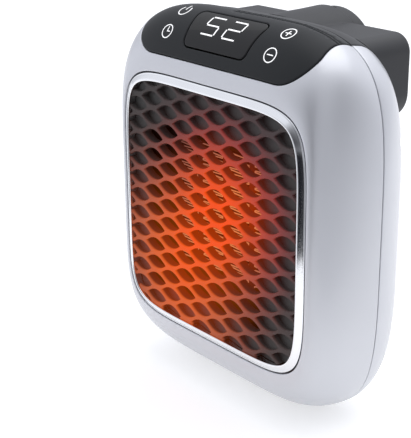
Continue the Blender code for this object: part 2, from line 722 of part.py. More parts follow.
def panel_outline(gap):
    """Touch panel outline on the top slope, smaller all round by the gap."""
    wide, seam = PANEL_HALF_WIDTH - gap, PANEL_SEAM_HALF_WIDTH - gap
    low, high = PANEL_LOW_EDGE + gap, BODY_TOP
    corner = PANEL_CORNER - gap
    return rounded_outline([(-wide, low, corner), (wide, low, corner), (wide, PANEL_WIDEST, 0.0),
                            (seam, seam_along(), 0.0), (seam, high, 0.0), (-seam, high, 0.0),
                            (-seam, seam_along(), 0.0), (-wide, PANEL_WIDEST, 0.0)])


def seam_along():
    """Where the seam's top lies, measured along the top slope."""
    rise = front_section(SEAM_DEPTH)[1] - FRAME_HALF_HEIGHT
    return (SEAM_DEPTH + rise) / math.sqrt(2.0)


def window_outline(gap):
    """Display window outline on the top slope, larger all round by the gap."""
    low, high = WINDOW_LOW_EDGE - gap, WINDOW_HIGH_EDGE + gap
    near, far = WINDOW_LOW_HALF_WIDTH + gap, WINDOW_HIGH_HALF_WIDTH + gap
    corner = WINDOW_CORNER + gap
    return rounded_outline([(-near, low, corner), (near, low, corner),
                            (far, high, corner), (-far, high, corner)])


def cover_outline(gap):
    """Rear cover outline seen from behind, smaller all round by the gap."""
    wide, low, high = COVER_HALF_WIDTH - gap, COVER_BOTTOM + gap, BODY_TOP + CUT_OVERRUN
    corner = COVER_CORNER - gap
    return rounded_outline([(-wide, low, corner), (wide, low, corner),
                            (wide, high, 0.0), (-wide, high, 0.0)])


def slope_cylinder(name, radius, low, high, across, along, finish=None, helper=False,
                   steps=SMALL_STEPS):
    """A cylinder square to the top slope, between two heights above the origin's slope."""
    bm = bmesh.new()
    bmesh.ops.create_cone(bm, cap_ends=True, segments=steps, radius1=radius, radius2=radius,
                          depth=high - low)
    bmesh.ops.rotate(bm, verts=bm.verts, matrix=Matrix.Rotation(SLOPE, 3, "X"))
    middle = slope_point(across, along, (low + high) / 2.0)
    return place(mesh_from(bm, name), name, finish, middle, helper)


def screw(name, head, shank, head_height, seat, end, axis, finish=STEEL):
    """A pan-head screw along Y, its head behind the seat and its shank to the end.

    A seat in front of the end makes a screw that is driven from the front.
    """
    back = 1.0 if seat > end else -1.0
    top = seat + back * head_height
    floor = top - back * head_height * RECESS_DEPTH_SHARE
    recess = head * RECESS_SHARE
    profile = [(0.0, floor), (recess, floor), (recess, top), (head, top), (head, seat),
               (shank, seat), (shank, end), (0.0, end)]
    if back < 0.0:
        profile.reverse()
    return turned(name, profile, axis, finish, SMALL_STEPS)


def make_front_shell():
    """Front half of the case, open for the grille and for the touch panel."""
    shell = walled_half("front_shell", SILVER, True)
    boolean(shell, prism("cut_frame", frame_outline(FRAME_GAP), -2.0 * FRAME_DEPTH, CUT_OVERRUN,
                         helper=True))
    boolean(shell, prism("cut_panel", panel_outline(0.0), -SLOPE_REACH, SLOPE_REACH, True,
                         helper=True))
    post_end = SEAM_DEPTH - FIT_GAP
    for side in (-1.0, 1.0):
        for level in (-1.0, 1.0):
            axis = (side * CASE_SCREW_X, level * CASE_SCREW_Z)
            tag = corner_name(side, level)
            post = cylinder("add_front_post_" + tag, CASE_POST_RADIUS, CASE_POST_FRONT, post_end,
                            axis, steps=SMALL_STEPS, helper=True)
            boolean(shell, post, "UNION")
            cut_cylinder(shell, "front_post_" + tag, CASE_HOLE_RADIUS, CASE_HOLE_END,
                         post_end + CUT_OVERRUN, axis, WIRE_STEPS)
    return shell


def corner_name(side, level):
    """A plain name for one of four corners."""
    return ("upper" if level > 0.0 else "lower") + ("_right" if side > 0.0 else "_left")


def make_touch_panel():
    """Touch panel that fills the top of the front shell, with posts for its board."""
    panel = walled_half("touch_panel", CHARCOAL, True)
    keep = prism("keep_panel", panel_outline(FIT_GAP), -SLOPE_REACH, SLOPE_REACH, True, helper=True)
    boolean(panel, keep, "INTERSECT")
    for side in (-1.0, 1.0):
        tag = "right" if side > 0.0 else "left"
        foot = board_top() + FIT_GAP
        head = skin_above(POST_HALF_SPACING + POST_RADIUS, POST_PLACE + POST_RADIUS) - WALL / 2.0
        post = slope_cylinder("add_panel_post_" + tag, POST_RADIUS, foot, head,
                              side * POST_HALF_SPACING, POST_PLACE, helper=True)
        boolean(panel, post, "UNION")
        hole = slope_cylinder("cut_panel_post_" + tag, SMALL_HOLE_RADIUS, foot - CUT_OVERRUN,
                              foot + BOARD_SCREW_LENGTH, side * POST_HALF_SPACING, POST_PLACE,
                              helper=True, steps=WIRE_STEPS)
        boolean(panel, hole)
    gap = prism("cut_window", window_outline(FIT_GAP), -SLOPE_REACH, SLOPE_REACH, True, helper=True)
    boolean(panel, gap)
    window = front_skin("display_window", GLOSS_BLACK)
    thicken(window, WALL)
    pane = prism("keep_window", window_outline(0.0), -SLOPE_REACH, SLOPE_REACH, True, helper=True)
    boolean(window, pane, "INTERSECT")


def slope_box(name, half_width, low, high, floor, top, finish, bevel=0.0):
    """A box square to the top slope."""
    bm = bmesh.new()
    bmesh.ops.create_cube(bm, size=1.0)
    bmesh.ops.scale(bm, vec=(2.0 * half_width, high - low, top - floor), verts=bm.verts)
    bmesh.ops.rotate(bm, verts=bm.verts, matrix=Matrix.Rotation(SLOPE, 3, "X"))
    middle = slope_point(0.0, (low + high) / 2.0, (floor + top) / 2.0)
    obj = place(mesh_from(bm, name), name, finish, middle)
    if bevel:
        soften(obj, bevel)
    return obj


def pad_top(along):
    """Where a touch pad ends under the panel."""
    return top_under_skin(PAD_HALF_SPACING, PAD_RADIUS, along - PAD_RADIUS, along + PAD_RADIUS)


def board_top():
    """Height of the control board's upper face above the top slope."""
    return pad_top(HIGH_PAD_PLACE) - PAD_THICKNESS - FIT_GAP


def make_control_board():
    """Control board under the slope, with its display, touch pads and screws."""
    upper = board_top()
    floor = upper - CONTROL_BOARD_THICKNESS
    board = slope_box("control_board", CONTROL_BOARD_HALF_WIDTH, CONTROL_BOARD_LOW,
                      CONTROL_BOARD_HIGH, floor, upper, BOARD_GREEN)
    slope_box("display_module", DISPLAY_HALF_WIDTH, DISPLAY_LOW, DISPLAY_HIGH,
              upper + FIT_GAP,
              top_under_skin(0.0, DISPLAY_HALF_WIDTH, DISPLAY_LOW, DISPLAY_HIGH), CHARCOAL)
    pads = (("power", -1.0, HIGH_PAD_PLACE), ("timer", -1.0, LOW_PAD_PLACE),
            ("plus", 1.0, HIGH_PAD_PLACE), ("minus", 1.0, LOW_PAD_PLACE))
    for name, side, along in pads:
        slope_cylinder("touch_pad_" + name, PAD_RADIUS, upper + FIT_GAP, pad_top(along),
                       side * PAD_HALF_SPACING, along, CONTACT_FOAM)
    for side in (-1.0, 1.0):
        tag = "right" if side > 0.0 else "left"
        across = side * POST_HALF_SPACING
        hole = slope_cylinder("cut_board_" + tag, SMALL_HOLE_RADIUS, floor - CUT_OVERRUN,
                              upper + CUT_OVERRUN, across, POST_PLACE, helper=True,
                              steps=WIRE_STEPS)
        boolean(board, hole)
        seat = floor - FIT_GAP
        head = slope_cylinder("board_screw_" + tag, SMALL_HEAD_RADIUS, seat - SMALL_HEAD_HEIGHT,
                              seat, across, POST_PLACE, STEEL)
        shank = slope_cylinder("add_board_shank_" + tag, SMALL_SHANK_RADIUS, seat - JOIN_BITE,
                               upper + BOARD_SCREW_LENGTH - FIT_GAP, across,
                               POST_PLACE, helper=True, steps=WIRE_STEPS)
        boolean(head, shank, "UNION")


def make_frame():
    """Bright frame: one profile, proud at its inner edge, carried round the grille opening."""
    outline = frame_outline(0.0)
    profile = [(0.0, FRAME_DEPTH), (0.0, FRAME_LIP_ROUND), (FRAME_LIP_ROUND, 0.0),
               (FRAME_BAND - FRAME_LIP_ROUND, -FRAME_RISE),
               (FRAME_BAND, FRAME_LIP_ROUND - FRAME_RISE), (FRAME_BAND, FRAME_DEPTH)]
    rings = [(depth, inset_outline(outline, inset)) for inset, depth in profile]
    rings.append(rings[0])
    bm = bmesh.new()
    loops = [[bm.verts.new((x, depth, z)) for x, z in points] for depth, points in rings[:-1]]
    for near, far in zip(loops, loops[1:] + loops[:1]):
        for index in range(SHELL_POINTS):
            after = (index + 1) % SHELL_POINTS
            bm.faces.new((near[index], near[after], far[after], far[index]))
    place(mesh_from(bm, "grille_frame"), "grille_frame", CHROME)


def clip_outline(points, limit):
    """The part of one outline that lies inside another that bulges everywhere."""
    for index, start in enumerate(limit):
        start, end = Vector(start), Vector(limit[(index + 1) % len(limit)])
        along = end - start
        sides = [along.x * (y - start.y) - along.y * (x - start.x) for x, y in points]
        kept = []
        for here in range(len(points)):
            before = here - 1
            if (sides[here] < 0.0) != (sides[before] < 0.0):
                share = sides[before] / (sides[before] - sides[here])
                first, second = Vector(points[before]), Vector(points[here])
                kept.append(tuple(first.lerp(second, share)))
            if sides[here] >= 0.0:
                kept.append(points[here])
        points = kept
        if not points:
            break
    return points


def outline_area(points):
    """Area inside a closed outline."""
    total = 0.0
    for index, (x, y) in enumerate(points):
        before = points[index - 1]
        total += before[0] * y - x * before[1]
    return abs(total) / 2.0


def grille_cells(limit):
    """Outlines of the eye-shaped openings, in staggered columns, cut off by the rim.

    The corners beyond the air path stay closed.
    """
    eye = ((CELL_HALF_LENGTH, 0.0), (CELL_SHOULDER, CELL_HALF_HEIGHT),
           (-CELL_SHOULDER, CELL_HALF_HEIGHT), (-CELL_HALF_LENGTH, 0.0),
           (-CELL_SHOULDER, -CELL_HALF_HEIGHT), (CELL_SHOULDER, -CELL_HALF_HEIGHT))
    columns = int(FRAME_HALF_WIDTH / CELL_COLUMN_PITCH) + 1
    rows = int(FRAME_HALF_HEIGHT / CELL_ROW_PITCH) + 1
    cells = []
    for column in range(-columns, columns + 1):
        shift = CELL_RISE + CELL_ROW_PITCH * (CELL_ROW_SHARE + (column % 2) / 2.0)
        for row in range(-rows, rows + 1):
            middle = ((column + 0.5) * CELL_COLUMN_PITCH, row * CELL_ROW_PITCH + shift)
            if math.hypot(*middle) > AIR_RADIUS + OPEN_CELL_MARGIN:
                continue
            cell = clip_outline([(middle[0] + x, middle[1] + z) for x, z in eye], limit)
            if len(cell) > 2 and outline_area(cell) > CELL_LEAST_AREA:
                cells.append(cell)
    return cells


def make_grille():
    """Front grille: a plate inside the frame, cut through by the eye-shaped openings."""
    edge = frame_outline(-FRAME_BAND - FIT_GAP)
    limit = inset_outline(edge, GRILLE_RIM)
    plate = prism("front_grille", edge, -GRILLE_BACK, -GRILLE_FRONT, finish=GRILLE_GREY)
    bm = bmesh.new()
    for cell in grille_cells(limit):
        face = bm.faces.new([bm.verts.new((x, 0.0, z)) for x, z in cell])
        drawn = bmesh.ops.extrude_face_region(bm, geom=[face])["geom"]
        moved = [item for item in drawn if isinstance(item, bmesh.types.BMVert)]
        bmesh.ops.translate(bm, verts=moved, vec=(0.0, GRILLE_BACK + CUT_OVERRUN, 0.0))
    cutter = place(mesh_from(bm, "cut_cells", smooth=False), "cut_cells", None, helper=True)
    boolean(plate, cutter)


def make_baffle_and_duct():
    """Baffle behind the grille and the round duct that carries the element."""
    outline = superellipse(BAFFLE_HALF_WIDTH, BAFFLE_HALF_HEIGHT, -BAFFLE_HALF_HEIGHT,
                           FRONT_SQUARENESS)
    baffle = prism("baffle_plate", outline, -BAFFLE_BACK, -BAFFLE_FRONT, finish=HEAT_PLASTIC)
    cut_cylinder(baffle, "baffle", AIR_RADIUS, BAFFLE_FRONT - CUT_OVERRUN,
                 BAFFLE_BACK + CUT_OVERRUN, AIR_AXIS, ROUND_STEPS)
    duct = turned("heat_duct", [(DUCT_OUTER, DUCT_END), (DUCT_OUTER, DUCT_FRONT),
                                (AIR_RADIUS, DUCT_FRONT), (AIR_RADIUS, DUCT_END)],
                  finish=HEAT_PLASTIC, ring=True)
    holder = cylinder("element_holder", AIR_RADIUS - FIT_GAP, HOLDER_FRONT, HOLDER_BACK,
                      finish=HEAT_PLASTIC)
    half = stack_half_width() + FIT_GAP
    high = FIN_HEIGHT / 2.0 + FIT_GAP
    window = box("cut_holder", (-half, HOLDER_FRONT - CUT_OVERRUN, -high),
                 (half, HOLDER_BACK + CUT_OVERRUN, high), helper=True)
    boolean(holder, window)
    for side in (-1.0, 1.0):
        slot = terminal_box("cut_terminal_" + ("right" if side > 0.0 else "left"), side, FIT_GAP)
        boolean(holder, slot)
        boolean(duct, slot)


def stack_half_width():
    """Half the width of the fins and ceramic bars with the gaps between them."""
    bars = FIN_COLUMNS - 1
    gaps = 2 * bars
    return (FIN_COLUMNS * FIN_WIDTH + bars * BAR_WIDTH + gaps * FIT_GAP) / 2.0


def bar_place(index):
    """Middle of a ceramic bar across the element."""
    step = FIN_WIDTH + BAR_WIDTH + 2.0 * FIT_GAP
    return (index - (FIN_COLUMNS - 2) / 2.0) * step


def terminal_box(name, side, gap, finish=None):
    """A flat terminal above an outer bar, or the slot that it passes through."""
    middle = side * bar_place(FIN_COLUMNS - 2)
    depth = HOLDER_FRONT + HOLDER_DEPTH / 2.0
    low = (middle - TERMINAL_WIDTH / 2.0 - gap, depth - TERMINAL_SHEET / 2.0 - gap,
           FIN_HEIGHT / 2.0 + FIT_GAP - gap)
    high = (middle + TERMINAL_WIDTH / 2.0 + gap, depth + TERMINAL_SHEET / 2.0 + gap,
            TERMINAL_TOP + gap)
    return box(name, low, high, finish, helper=finish is None)


def make_element():
    """Ceramic bars with folded aluminium fins between them, and their terminals."""
    half_height = FIN_HEIGHT / 2.0
    for index in range(FIN_COLUMNS - 1):
        middle = bar_place(index)
        box(f"ceramic_bar_{index + 1}", (middle - BAR_WIDTH / 2.0, HOLDER_FRONT, -half_height),
            (middle + BAR_WIDTH / 2.0, HOLDER_BACK, half_height), CERAMIC)
    folds = int(FIN_HEIGHT / FIN_PITCH)
    pitch = (FIN_HEIGHT - FIN_SHEET) / folds
    reach = (FIN_WIDTH - FIN_SHEET) / 2.0
    rise = pitch / 2.0 - FIN_FLAT
    path = [(-reach, 0.0)]
    for fold in range(folds):
        foot = fold * pitch
        path.append((-reach, foot + FIN_FLAT))
        path.append((reach, foot + FIN_FLAT + rise))
        path.append((reach, foot + 2.0 * FIN_FLAT + rise))
        path.append((-reach, foot + pitch))
    for index in range(FIN_COLUMNS):
        middle = bar_place(index - 0.5)
        bm = bmesh.new()
        near = [bm.verts.new((middle + x, HOLDER_FRONT, z - folds * pitch / 2.0)) for x, z in path]
        for first, second in zip(near, near[1:]):
            bm.edges.new((first, second))
        drawn = bmesh.ops.extrude_edge_only(bm, edges=bm.edges[:])["geom"]
        moved = [item for item in drawn if isinstance(item, bmesh.types.BMVert)]
        bmesh.ops.translate(bm, verts=moved, vec=(0.0, HOLDER_DEPTH, 0.0))
        fins = place(mesh_from(bm, f"fin_pack_{index + 1}", smooth=False),
                     f"fin_pack_{index + 1}", ALUMINIUM)
        thicken(fins, FIN_SHEET).offset = 0.0
    for side in (-1.0, 1.0):
        terminal_box("heater_terminal_" + ("right" if side > 0.0 else "left"), side, 0.0, BRASS)
    seat = HOLDER_BACK + FIT_GAP
    top = seat + CUTOUT_DEPTH
    radius = (SHROUD_RADIUS - stack_half_width()) / 2.0 - DEVICE_SIDE_GAP
    beside = (SHROUD_RADIUS + stack_half_width()) / 2.0
    turned("thermal_cutout", [(0.0, top), (radius - DEVICE_EDGE_ROUND, top),
                              (radius, top - DEVICE_EDGE_ROUND), (radius, seat), (0.0, seat)],
           (beside, 0.0), STEEL, SMALL_STEPS)
    bm = bmesh.new()
    bmesh.ops.create_cone(bm, cap_ends=True, segments=SMALL_STEPS, radius1=FUSE_RADIUS,
                          radius2=FUSE_RADIUS, depth=FUSE_LENGTH)
    place(mesh_from(bm, "thermal_fuse"), "thermal_fuse", STEEL,
          (-beside, seat + FUSE_RADIUS, 0.0))


def make_shroud():
    """Fan shroud with a front flange and two ledges that carry the power board."""
    flange_back = SHROUD_FRONT + SHROUD_FLANGE
    body = cylinder("fan_shroud", SHROUD_OUTER, SHROUD_FRONT, SHROUD_END, finish=HEAT_PLASTIC)
    flange = cylinder("add_flange", DUCT_OUTER, SHROUD_FRONT, flange_back, helper=True)
    boolean(body, flange, "UNION")
    top = POWER_BOARD_Z - FIT_GAP
    for side in (-1.0, 1.0):
        ledge = box("add_ledge_" + ("right" if side > 0.0 else "left"),
                    (side * LEDGE_PLACE - LEDGE_WIDTH / 2.0, LEDGE_FRONT, LEDGE_FOOT),
                    (side * LEDGE_PLACE + LEDGE_WIDTH / 2.0, LEDGE_REAR, top), helper=True)
        boolean(body, ledge, "UNION")
    cut_cylinder(body, "shroud", SHROUD_RADIUS, SHROUD_FRONT - CUT_OVERRUN,
                 SHROUD_END + CUT_OVERRUN, AIR_AXIS, ROUND_STEPS)
    notch = box("cut_lead_notch", (-LEAD_NOTCH_HALF_WIDTH, SHROUD_END - LEAD_NOTCH_DEPTH, 0.0),
                (LEAD_NOTCH_HALF_WIDTH, SHROUD_END + CUT_OVERRUN, SHROUD_OUTER + CUT_OVERRUN),
                helper=True)
    boolean(body, notch)


def make_impeller():
    """Fan wheel: a cup hub with twisted blades, on the motor's shaft."""
    back = IMPELLER_FRONT + IMPELLER_DEPTH
    bore = SHAFT_RADIUS + FIT_GAP
    hub = turned("fan_impeller", [(bore, back), (HUB_RADIUS, back),
                                  (HUB_RADIUS, IMPELLER_FRONT + MOTOR_CAN_ROUND),
                                  (HUB_RADIUS - MOTOR_CAN_ROUND, IMPELLER_FRONT),
                                  (0.0, IMPELLER_FRONT), (0.0, SHAFT_FRONT - FIT_GAP),
                                  (bore, SHAFT_FRONT - FIT_GAP)],
                 finish=FAN_WHITE, steps=MEDIUM_STEPS, ring=True)
    bm = bmesh.new()
    root = HUB_RADIUS - JOIN_BITE
    middle = IMPELLER_FRONT + IMPELLER_DEPTH / 2.0
    reach = IMPELLER_DEPTH / 2.0 - JOIN_BITE
    for blade in range(BLADE_COUNT):
        around = 2.0 * math.pi * blade / BLADE_COUNT
        grid = []
        for span in range(BLADE_SPANS + 1):
            share = span / BLADE_SPANS
            radius = root + (IMPELLER_RADIUS - root) * share
            pitch = math.radians(BLADE_ROOT_ANGLE
                                 + (BLADE_TIP_ANGLE - BLADE_ROOT_ANGLE) * share)
            row = []
            for chord in range(BLADE_CHORDS + 1):
                depth = reach * (2.0 * chord / BLADE_CHORDS - 1.0)
                turn = around + depth / math.tan(pitch) / radius
                row.append(bm.verts.new((radius * math.cos(turn), middle + depth,
                                         radius * math.sin(turn))))
            grid.append(row)
        for near, far in zip(grid, grid[1:]):
            for chord in range(BLADE_CHORDS):
                bm.faces.new((near[chord], near[chord + 1], far[chord + 1], far[chord]))
    blades = place(mesh_from(bm, "add_blades"), "add_blades", None, helper=True)
    thicken(blades, BLADE_SHEET).offset = 0.0
    boolean(hub, blades, "UNION")
    turned("motor_shaft", [(0.0, SHAFT_END), (SHAFT_RADIUS, SHAFT_END),
                           (SHAFT_RADIUS, SHAFT_FRONT), (0.0, SHAFT_FRONT)],
           finish=STEEL, steps=SMALL_STEPS)


def make_motor():
    """Motor, the three-armed bracket that holds it, and its two leads."""
    back = MOTOR_FRONT + MOTOR_DEPTH
    bore = SHAFT_RADIUS + FIT_GAP
    round_edge = MOTOR_CAN_ROUND
    turned("fan_motor", [(0.0, back), (MOTOR_RADIUS - round_edge, back),
                         (MOTOR_RADIUS, back - round_edge),
                         (MOTOR_RADIUS, MOTOR_FRONT + round_edge),
                         (MOTOR_RADIUS - round_edge, MOTOR_FRONT), (bore, MOTOR_FRONT),
                         (bore, MOTOR_SHAFT_WELL), (0.0, MOTOR_SHAFT_WELL)],
           finish=STEEL, steps=MEDIUM_STEPS)
    rear = BRACKET_FRONT + BRACKET_DEPTH
    seat = MOTOR_RADIUS + FIT_GAP
    bracket = cylinder("motor_bracket", seat + BRACKET_RING, BRACKET_FRONT, rear,
                       finish=HEAT_PLASTIC, steps=MEDIUM_STEPS)
    for arm in range(BRACKET_ARMS):
        bm = bmesh.new()
        bmesh.ops.create_cube(bm, size=1.0)
        length = SHROUD_RADIUS - FIT_GAP - MOTOR_RADIUS
        bmesh.ops.scale(bm, vec=(BRACKET_ARM_WIDTH, BRACKET_DEPTH, length), verts=bm.verts)
        bmesh.ops.translate(bm, verts=bm.verts, vec=(0.0, (BRACKET_FRONT + rear) / 2.0,
                                                     MOTOR_RADIUS + length / 2.0))
        turn = Matrix.Rotation(2.0 * math.pi * arm / BRACKET_ARMS, 3, "Y")
        bmesh.ops.rotate(bm, verts=bm.verts, matrix=turn)
        name = f"add_bracket_arm_{arm + 1}"
        boolean(bracket, place(mesh_from(bm, name), name, None, helper=True), "UNION")
    cut_cylinder(bracket, "bracket", seat, BRACKET_FRONT - CUT_OVERRUN, rear + CUT_OVERRUN,
                 AIR_AXIS, MEDIUM_STEPS)
    depth = SHROUD_END - LEAD_NOTCH_DEPTH / 2.0
    for side in (-1.0, 1.0):
        across = side * MOTOR_LEAD_SPACING
        name = "motor_lead_" + ("right" if side > 0.0 else "left")
        foot = MOTOR_RADIUS + FIT_GAP
        head = POWER_BOARD_Z - FIT_GAP
        bend = POWER_BOARD_REAR - MOTOR_LEAD_SPACING
        route = [(across, depth, foot), (across, depth, SHROUD_OUTER),
                 (across, (depth + bend) / 2.0, (SHROUD_OUTER + head) / 2.0),
                 (across, bend, head)]
        lead(name, route, MOTOR_LEAD_RADIUS, LEAD_RED)


def lead(name, route, radius, finish):
    """A wire along a smooth line through the route's points."""
    curve = bpy.data.curves.new(name, "CURVE")
    curve.dimensions = "3D"
    curve.bevel_depth = radius
    curve.bevel_resolution = 2
    curve.use_fill_caps = True
    points = smooth_route([Vector(point) for point in route])
    spline = curve.splines.new("POLY")
    spline.points.add(len(points) - 1)
    for target, point in zip(spline.points, points):
        target.co = (*point, 1.0)
    return place(curve, name, finish)


def smooth_route(points, pieces=4):
    """Points of a smooth line through the given ones."""
    ends = [points[0] * 2.0 - points[1]] + points + [points[-1] * 2.0 - points[-2]]
    line = []
    for index in range(1, len(ends) - 2):
        a, b, c, d = ends[index - 1:index + 3]
        for piece in range(pieces):
            t = piece / pieces
            line.append(0.5 * ((2.0 * b) + (c - a) * t + (2.0 * a - 5.0 * b + 4.0 * c - d) * t ** 2
                               + (3.0 * b - a - 3.0 * c + d) * t ** 3))
    line.append(points[-1])
    return line


def make_power_board():
    """Power board over the duct, with its relay, capacitor and supply leads."""
    top = POWER_BOARD_Z + POWER_BOARD_THICKNESS
    board = box("power_board", (-POWER_BOARD_HALF_WIDTH, POWER_BOARD_FRONT, POWER_BOARD_Z),
                (POWER_BOARD_HALF_WIDTH, POWER_BOARD_REAR, top), BOARD_GREEN)
    for side in (-1.0, 1.0):
        slot = terminal_box("cut_board_slot_" + ("right" if side > 0.0 else "left"), side,
                            FIT_GAP)
        boolean(board, slot)
    for name, size, spot in (("relay", RELAY_SIZE, RELAY_PLACE),
                             ("film_capacitor", CAPACITOR_SIZE, CAPACITOR_PLACE)):
        foot = top + FIT_GAP
        across, middle = spot[0], POWER_BOARD_REAR - spot[1]
        box(name, (across - size[0] / 2.0, middle - size[1] / 2.0, foot),
            (across + size[0] / 2.0, middle + size[1] / 2.0, foot + size[2]), PART_BLUE,
            bevel=PART_BEVEL)
    board_front = BACK_FACE + FIT_GAP
    for side in (-1.0, 1.0):
        across = side * SUPPLY_LEAD_PLACE
        end = (across, POWER_BOARD_REAR + FIT_GAP, (POWER_BOARD_Z + top) / 2.0)
        before = (across, end[1] + SUPPLY_LEAD_RADIUS, end[2])
        start = (across, board_front - FIT_GAP, SUPPLY_LEAD_HEIGHT)
        inside = (across, INNER_BACK - SUPPLY_LEAD_RADIUS, SUPPLY_LEAD_HEIGHT + SUPPLY_LEAD_RADIUS)
        lead("supply_lead_" + ("right" if side > 0.0 else "left"), [start, inside, before, end],
             SUPPLY_LEAD_RADIUS, LEAD_RED)


def inlet_slots():
    """Rows of slots that fill the round air inlet, as one cutter."""
    bm = bmesh.new()
    rows = int(INLET_RADIUS / INLET_PITCH)
    half = INLET_SLOT / 2.0
    round_end = half * SLOT_END_SHARE
    for row in range(-rows, rows + 1):
        height = row * INLET_PITCH
        if height > HOUSING_BOTTOM - INLET_PITCH:
            continue
        reach = math.sqrt(INLET_RADIUS ** 2 - height ** 2)
        spans = [(-reach, -INLET_RIB / 2.0), (INLET_RIB / 2.0, reach)]
        for left, right in spans:
            if right - left < INLET_PITCH:
                continue
            low, high = height - half, height + half
            corners = [(left, low, round_end), (right, low, round_end),
                       (right, high, round_end), (left, high, round_end)]
            face = bm.faces.new([bm.verts.new((x, INNER_BACK - CUT_OVERRUN, z))
                                 for x, z in rounded_outline(corners, SLOT_END_STEPS)])
            drawn = bmesh.ops.extrude_face_region(bm, geom=[face])["geom"]
            moved = [item for item in drawn if isinstance(item, bmesh.types.BMVert)]
            bmesh.ops.translate(bm, verts=moved, vec=(0.0, WALL + 2.0 * CUT_OVERRUN, 0.0))
    return place(mesh_from(bm, "cut_inlet", smooth=False), "cut_inlet", None, helper=True)


def make_rear_half():
    """Rear half of the case: the silver shell and the dark cover that closes it."""
    front = SEAM_DEPTH + FIT_GAP
    shell = walled_half("rear_shell", SILVER, False)
    opening = prism("cut_cover", cover_outline(0.0), -(BACK_FACE + CUT_OVERRUN), 0.0,
                    helper=True)
    boolean(shell, opening)
    for side in (-1.0, 1.0):
        for level in (-1.0, 1.0):
            tag = corner_name(side, level)
            axis = (side * CASE_SCREW_X, level * CASE_SCREW_Z)
            post = cylinder("add_rear_post_" + tag, CASE_WELL_POST_RADIUS, front,
                            CASE_POST_LEAST_END, axis, steps=SMALL_STEPS, helper=True)
            boolean(shell, post, "UNION")
            cut_cylinder(shell, "well_" + tag, CASE_WELL_RADIUS, CASE_WELL_FLOOR,
                         BACK_FACE, axis, SMALL_STEPS)
            cut_cylinder(shell, "rear_post_" + tag, CASE_HOLE_RADIUS, front - CUT_OVERRUN,
                         CASE_WELL_FLOOR + CUT_OVERRUN, axis, WIRE_STEPS)
            screw("case_screw_" + tag, CASE_HEAD_RADIUS, CASE_SHANK_RADIUS, CASE_HEAD_HEIGHT,
                  CASE_WELL_FLOOR + FIT_GAP, CASE_SHANK_END, axis)
    cover = walled_half("rear_cover", CHARCOAL, False)
    keep = prism("keep_cover", cover_outline(FIT_GAP), -(BACK_FACE + CUT_OVERRUN), 0.0,
                 helper=True)
    boolean(cover, keep, "INTERSECT")
    boolean(cover, inlet_slots())
    for side in (-1.0, 1.0):
        tag = "right" if side > 0.0 else "left"
        cut_cylinder(cover, "lead_hole_" + tag, SUPPLY_LEAD_RADIUS + FIT_GAP,
                     INNER_BACK - CUT_OVERRUN, BACK_FACE + CUT_OVERRUN,
                     (side * SUPPLY_LEAD_PLACE, SUPPLY_LEAD_HEIGHT), WIRE_STEPS)
        cut_cylinder(cover, "housing_hole_" + tag, SMALL_HOLE_RADIUS, INNER_BACK - CUT_OVERRUN,
                     BACK_FACE + CUT_OVERRUN, (side * HOUSING_SCREW_X, HOUSING_SCREW_Z),
                     WIRE_STEPS)


def housing_outline(inset):
    """Plug housing outline seen from behind, smaller all round by the inset."""
    wide, low, high = HOUSING_HALF_WIDTH - inset, HOUSING_BOTTOM + inset, HOUSING_TOP - inset
    low_corner, top_corner = HOUSING_LOW_CORNER - inset, HOUSING_TOP_CORNER - inset
    return rounded_outline([(-wide, low, low_corner), (wide, low, low_corner),
                            (wide, high, top_corner), (-wide, high, top_corner)])


def make_housing():
    """Plug housing: a hollow bar across the back with a round boss for the plug."""
    housing = prism("plug_housing", housing_outline(0.0), -HOUSING_BACK, -HOUSING_FRONT,
                    finish=CHARCOAL)
    soften(housing, HOUSING_BEVEL, 2)
    boss = turned("add_boss", [(0.0, BOSS_BACK), (BOSS_RADIUS - TURRET_ROUND, BOSS_BACK),
                               (BOSS_RADIUS, BOSS_BACK - TURRET_ROUND),
                               (BOSS_RADIUS, BOSS_FRONT), (0.0, BOSS_FRONT)],
                  TURRET_AXIS, helper=True)
    boolean(housing, boss, "UNION")
    hollow_back = HOUSING_BACK - WALL
    hollow = prism("cut_hollow", housing_outline(WALL), JOIN_BITE - hollow_back, 0.0,
                   helper=True)
    boolean(housing, hollow)
    wide, narrow = BOSS_RADIUS - WALL, NECK_RADIUS + FIT_GAP
    back, front = BOSS_BACK + CUT_OVERRUN, BOSS_FRONT + WALL
    boss_hollow = turned("cut_boss_hollow", [(0.0, back), (narrow, back), (narrow, hollow_back),
                                             (wide, hollow_back), (wide, front), (0.0, front)],
                         TURRET_AXIS, helper=True)
    boolean(housing, boss_hollow)
    for side in (-1.0, 1.0):
        tag = "right" if side > 0.0 else "left"
        axis = (side * HOUSING_SCREW_X, HOUSING_SCREW_Z)
        post = cylinder("add_housing_post_" + tag, HOUSING_POST_RADIUS, BACK_FACE + FIT_GAP,
                        HOUSING_BACK - WALL / 2.0, axis, steps=SMALL_STEPS, helper=True)
        boolean(housing, post, "UNION")
        cut_cylinder(housing, "housing_post_" + tag, SMALL_HOLE_RADIUS, INNER_BACK,
                     HOUSING_SCREW_END + FIT_GAP, axis, WIRE_STEPS)
        screw("housing_screw_" + tag, SMALL_HEAD_RADIUS, SMALL_SHANK_RADIUS, SMALL_HEAD_HEIGHT,
              INNER_BACK - FIT_GAP, HOUSING_SCREW_END, axis)
    body = rear_skin("cut_body", None, 0.0, FIT_GAP, helper=True)
    boolean(housing, body)


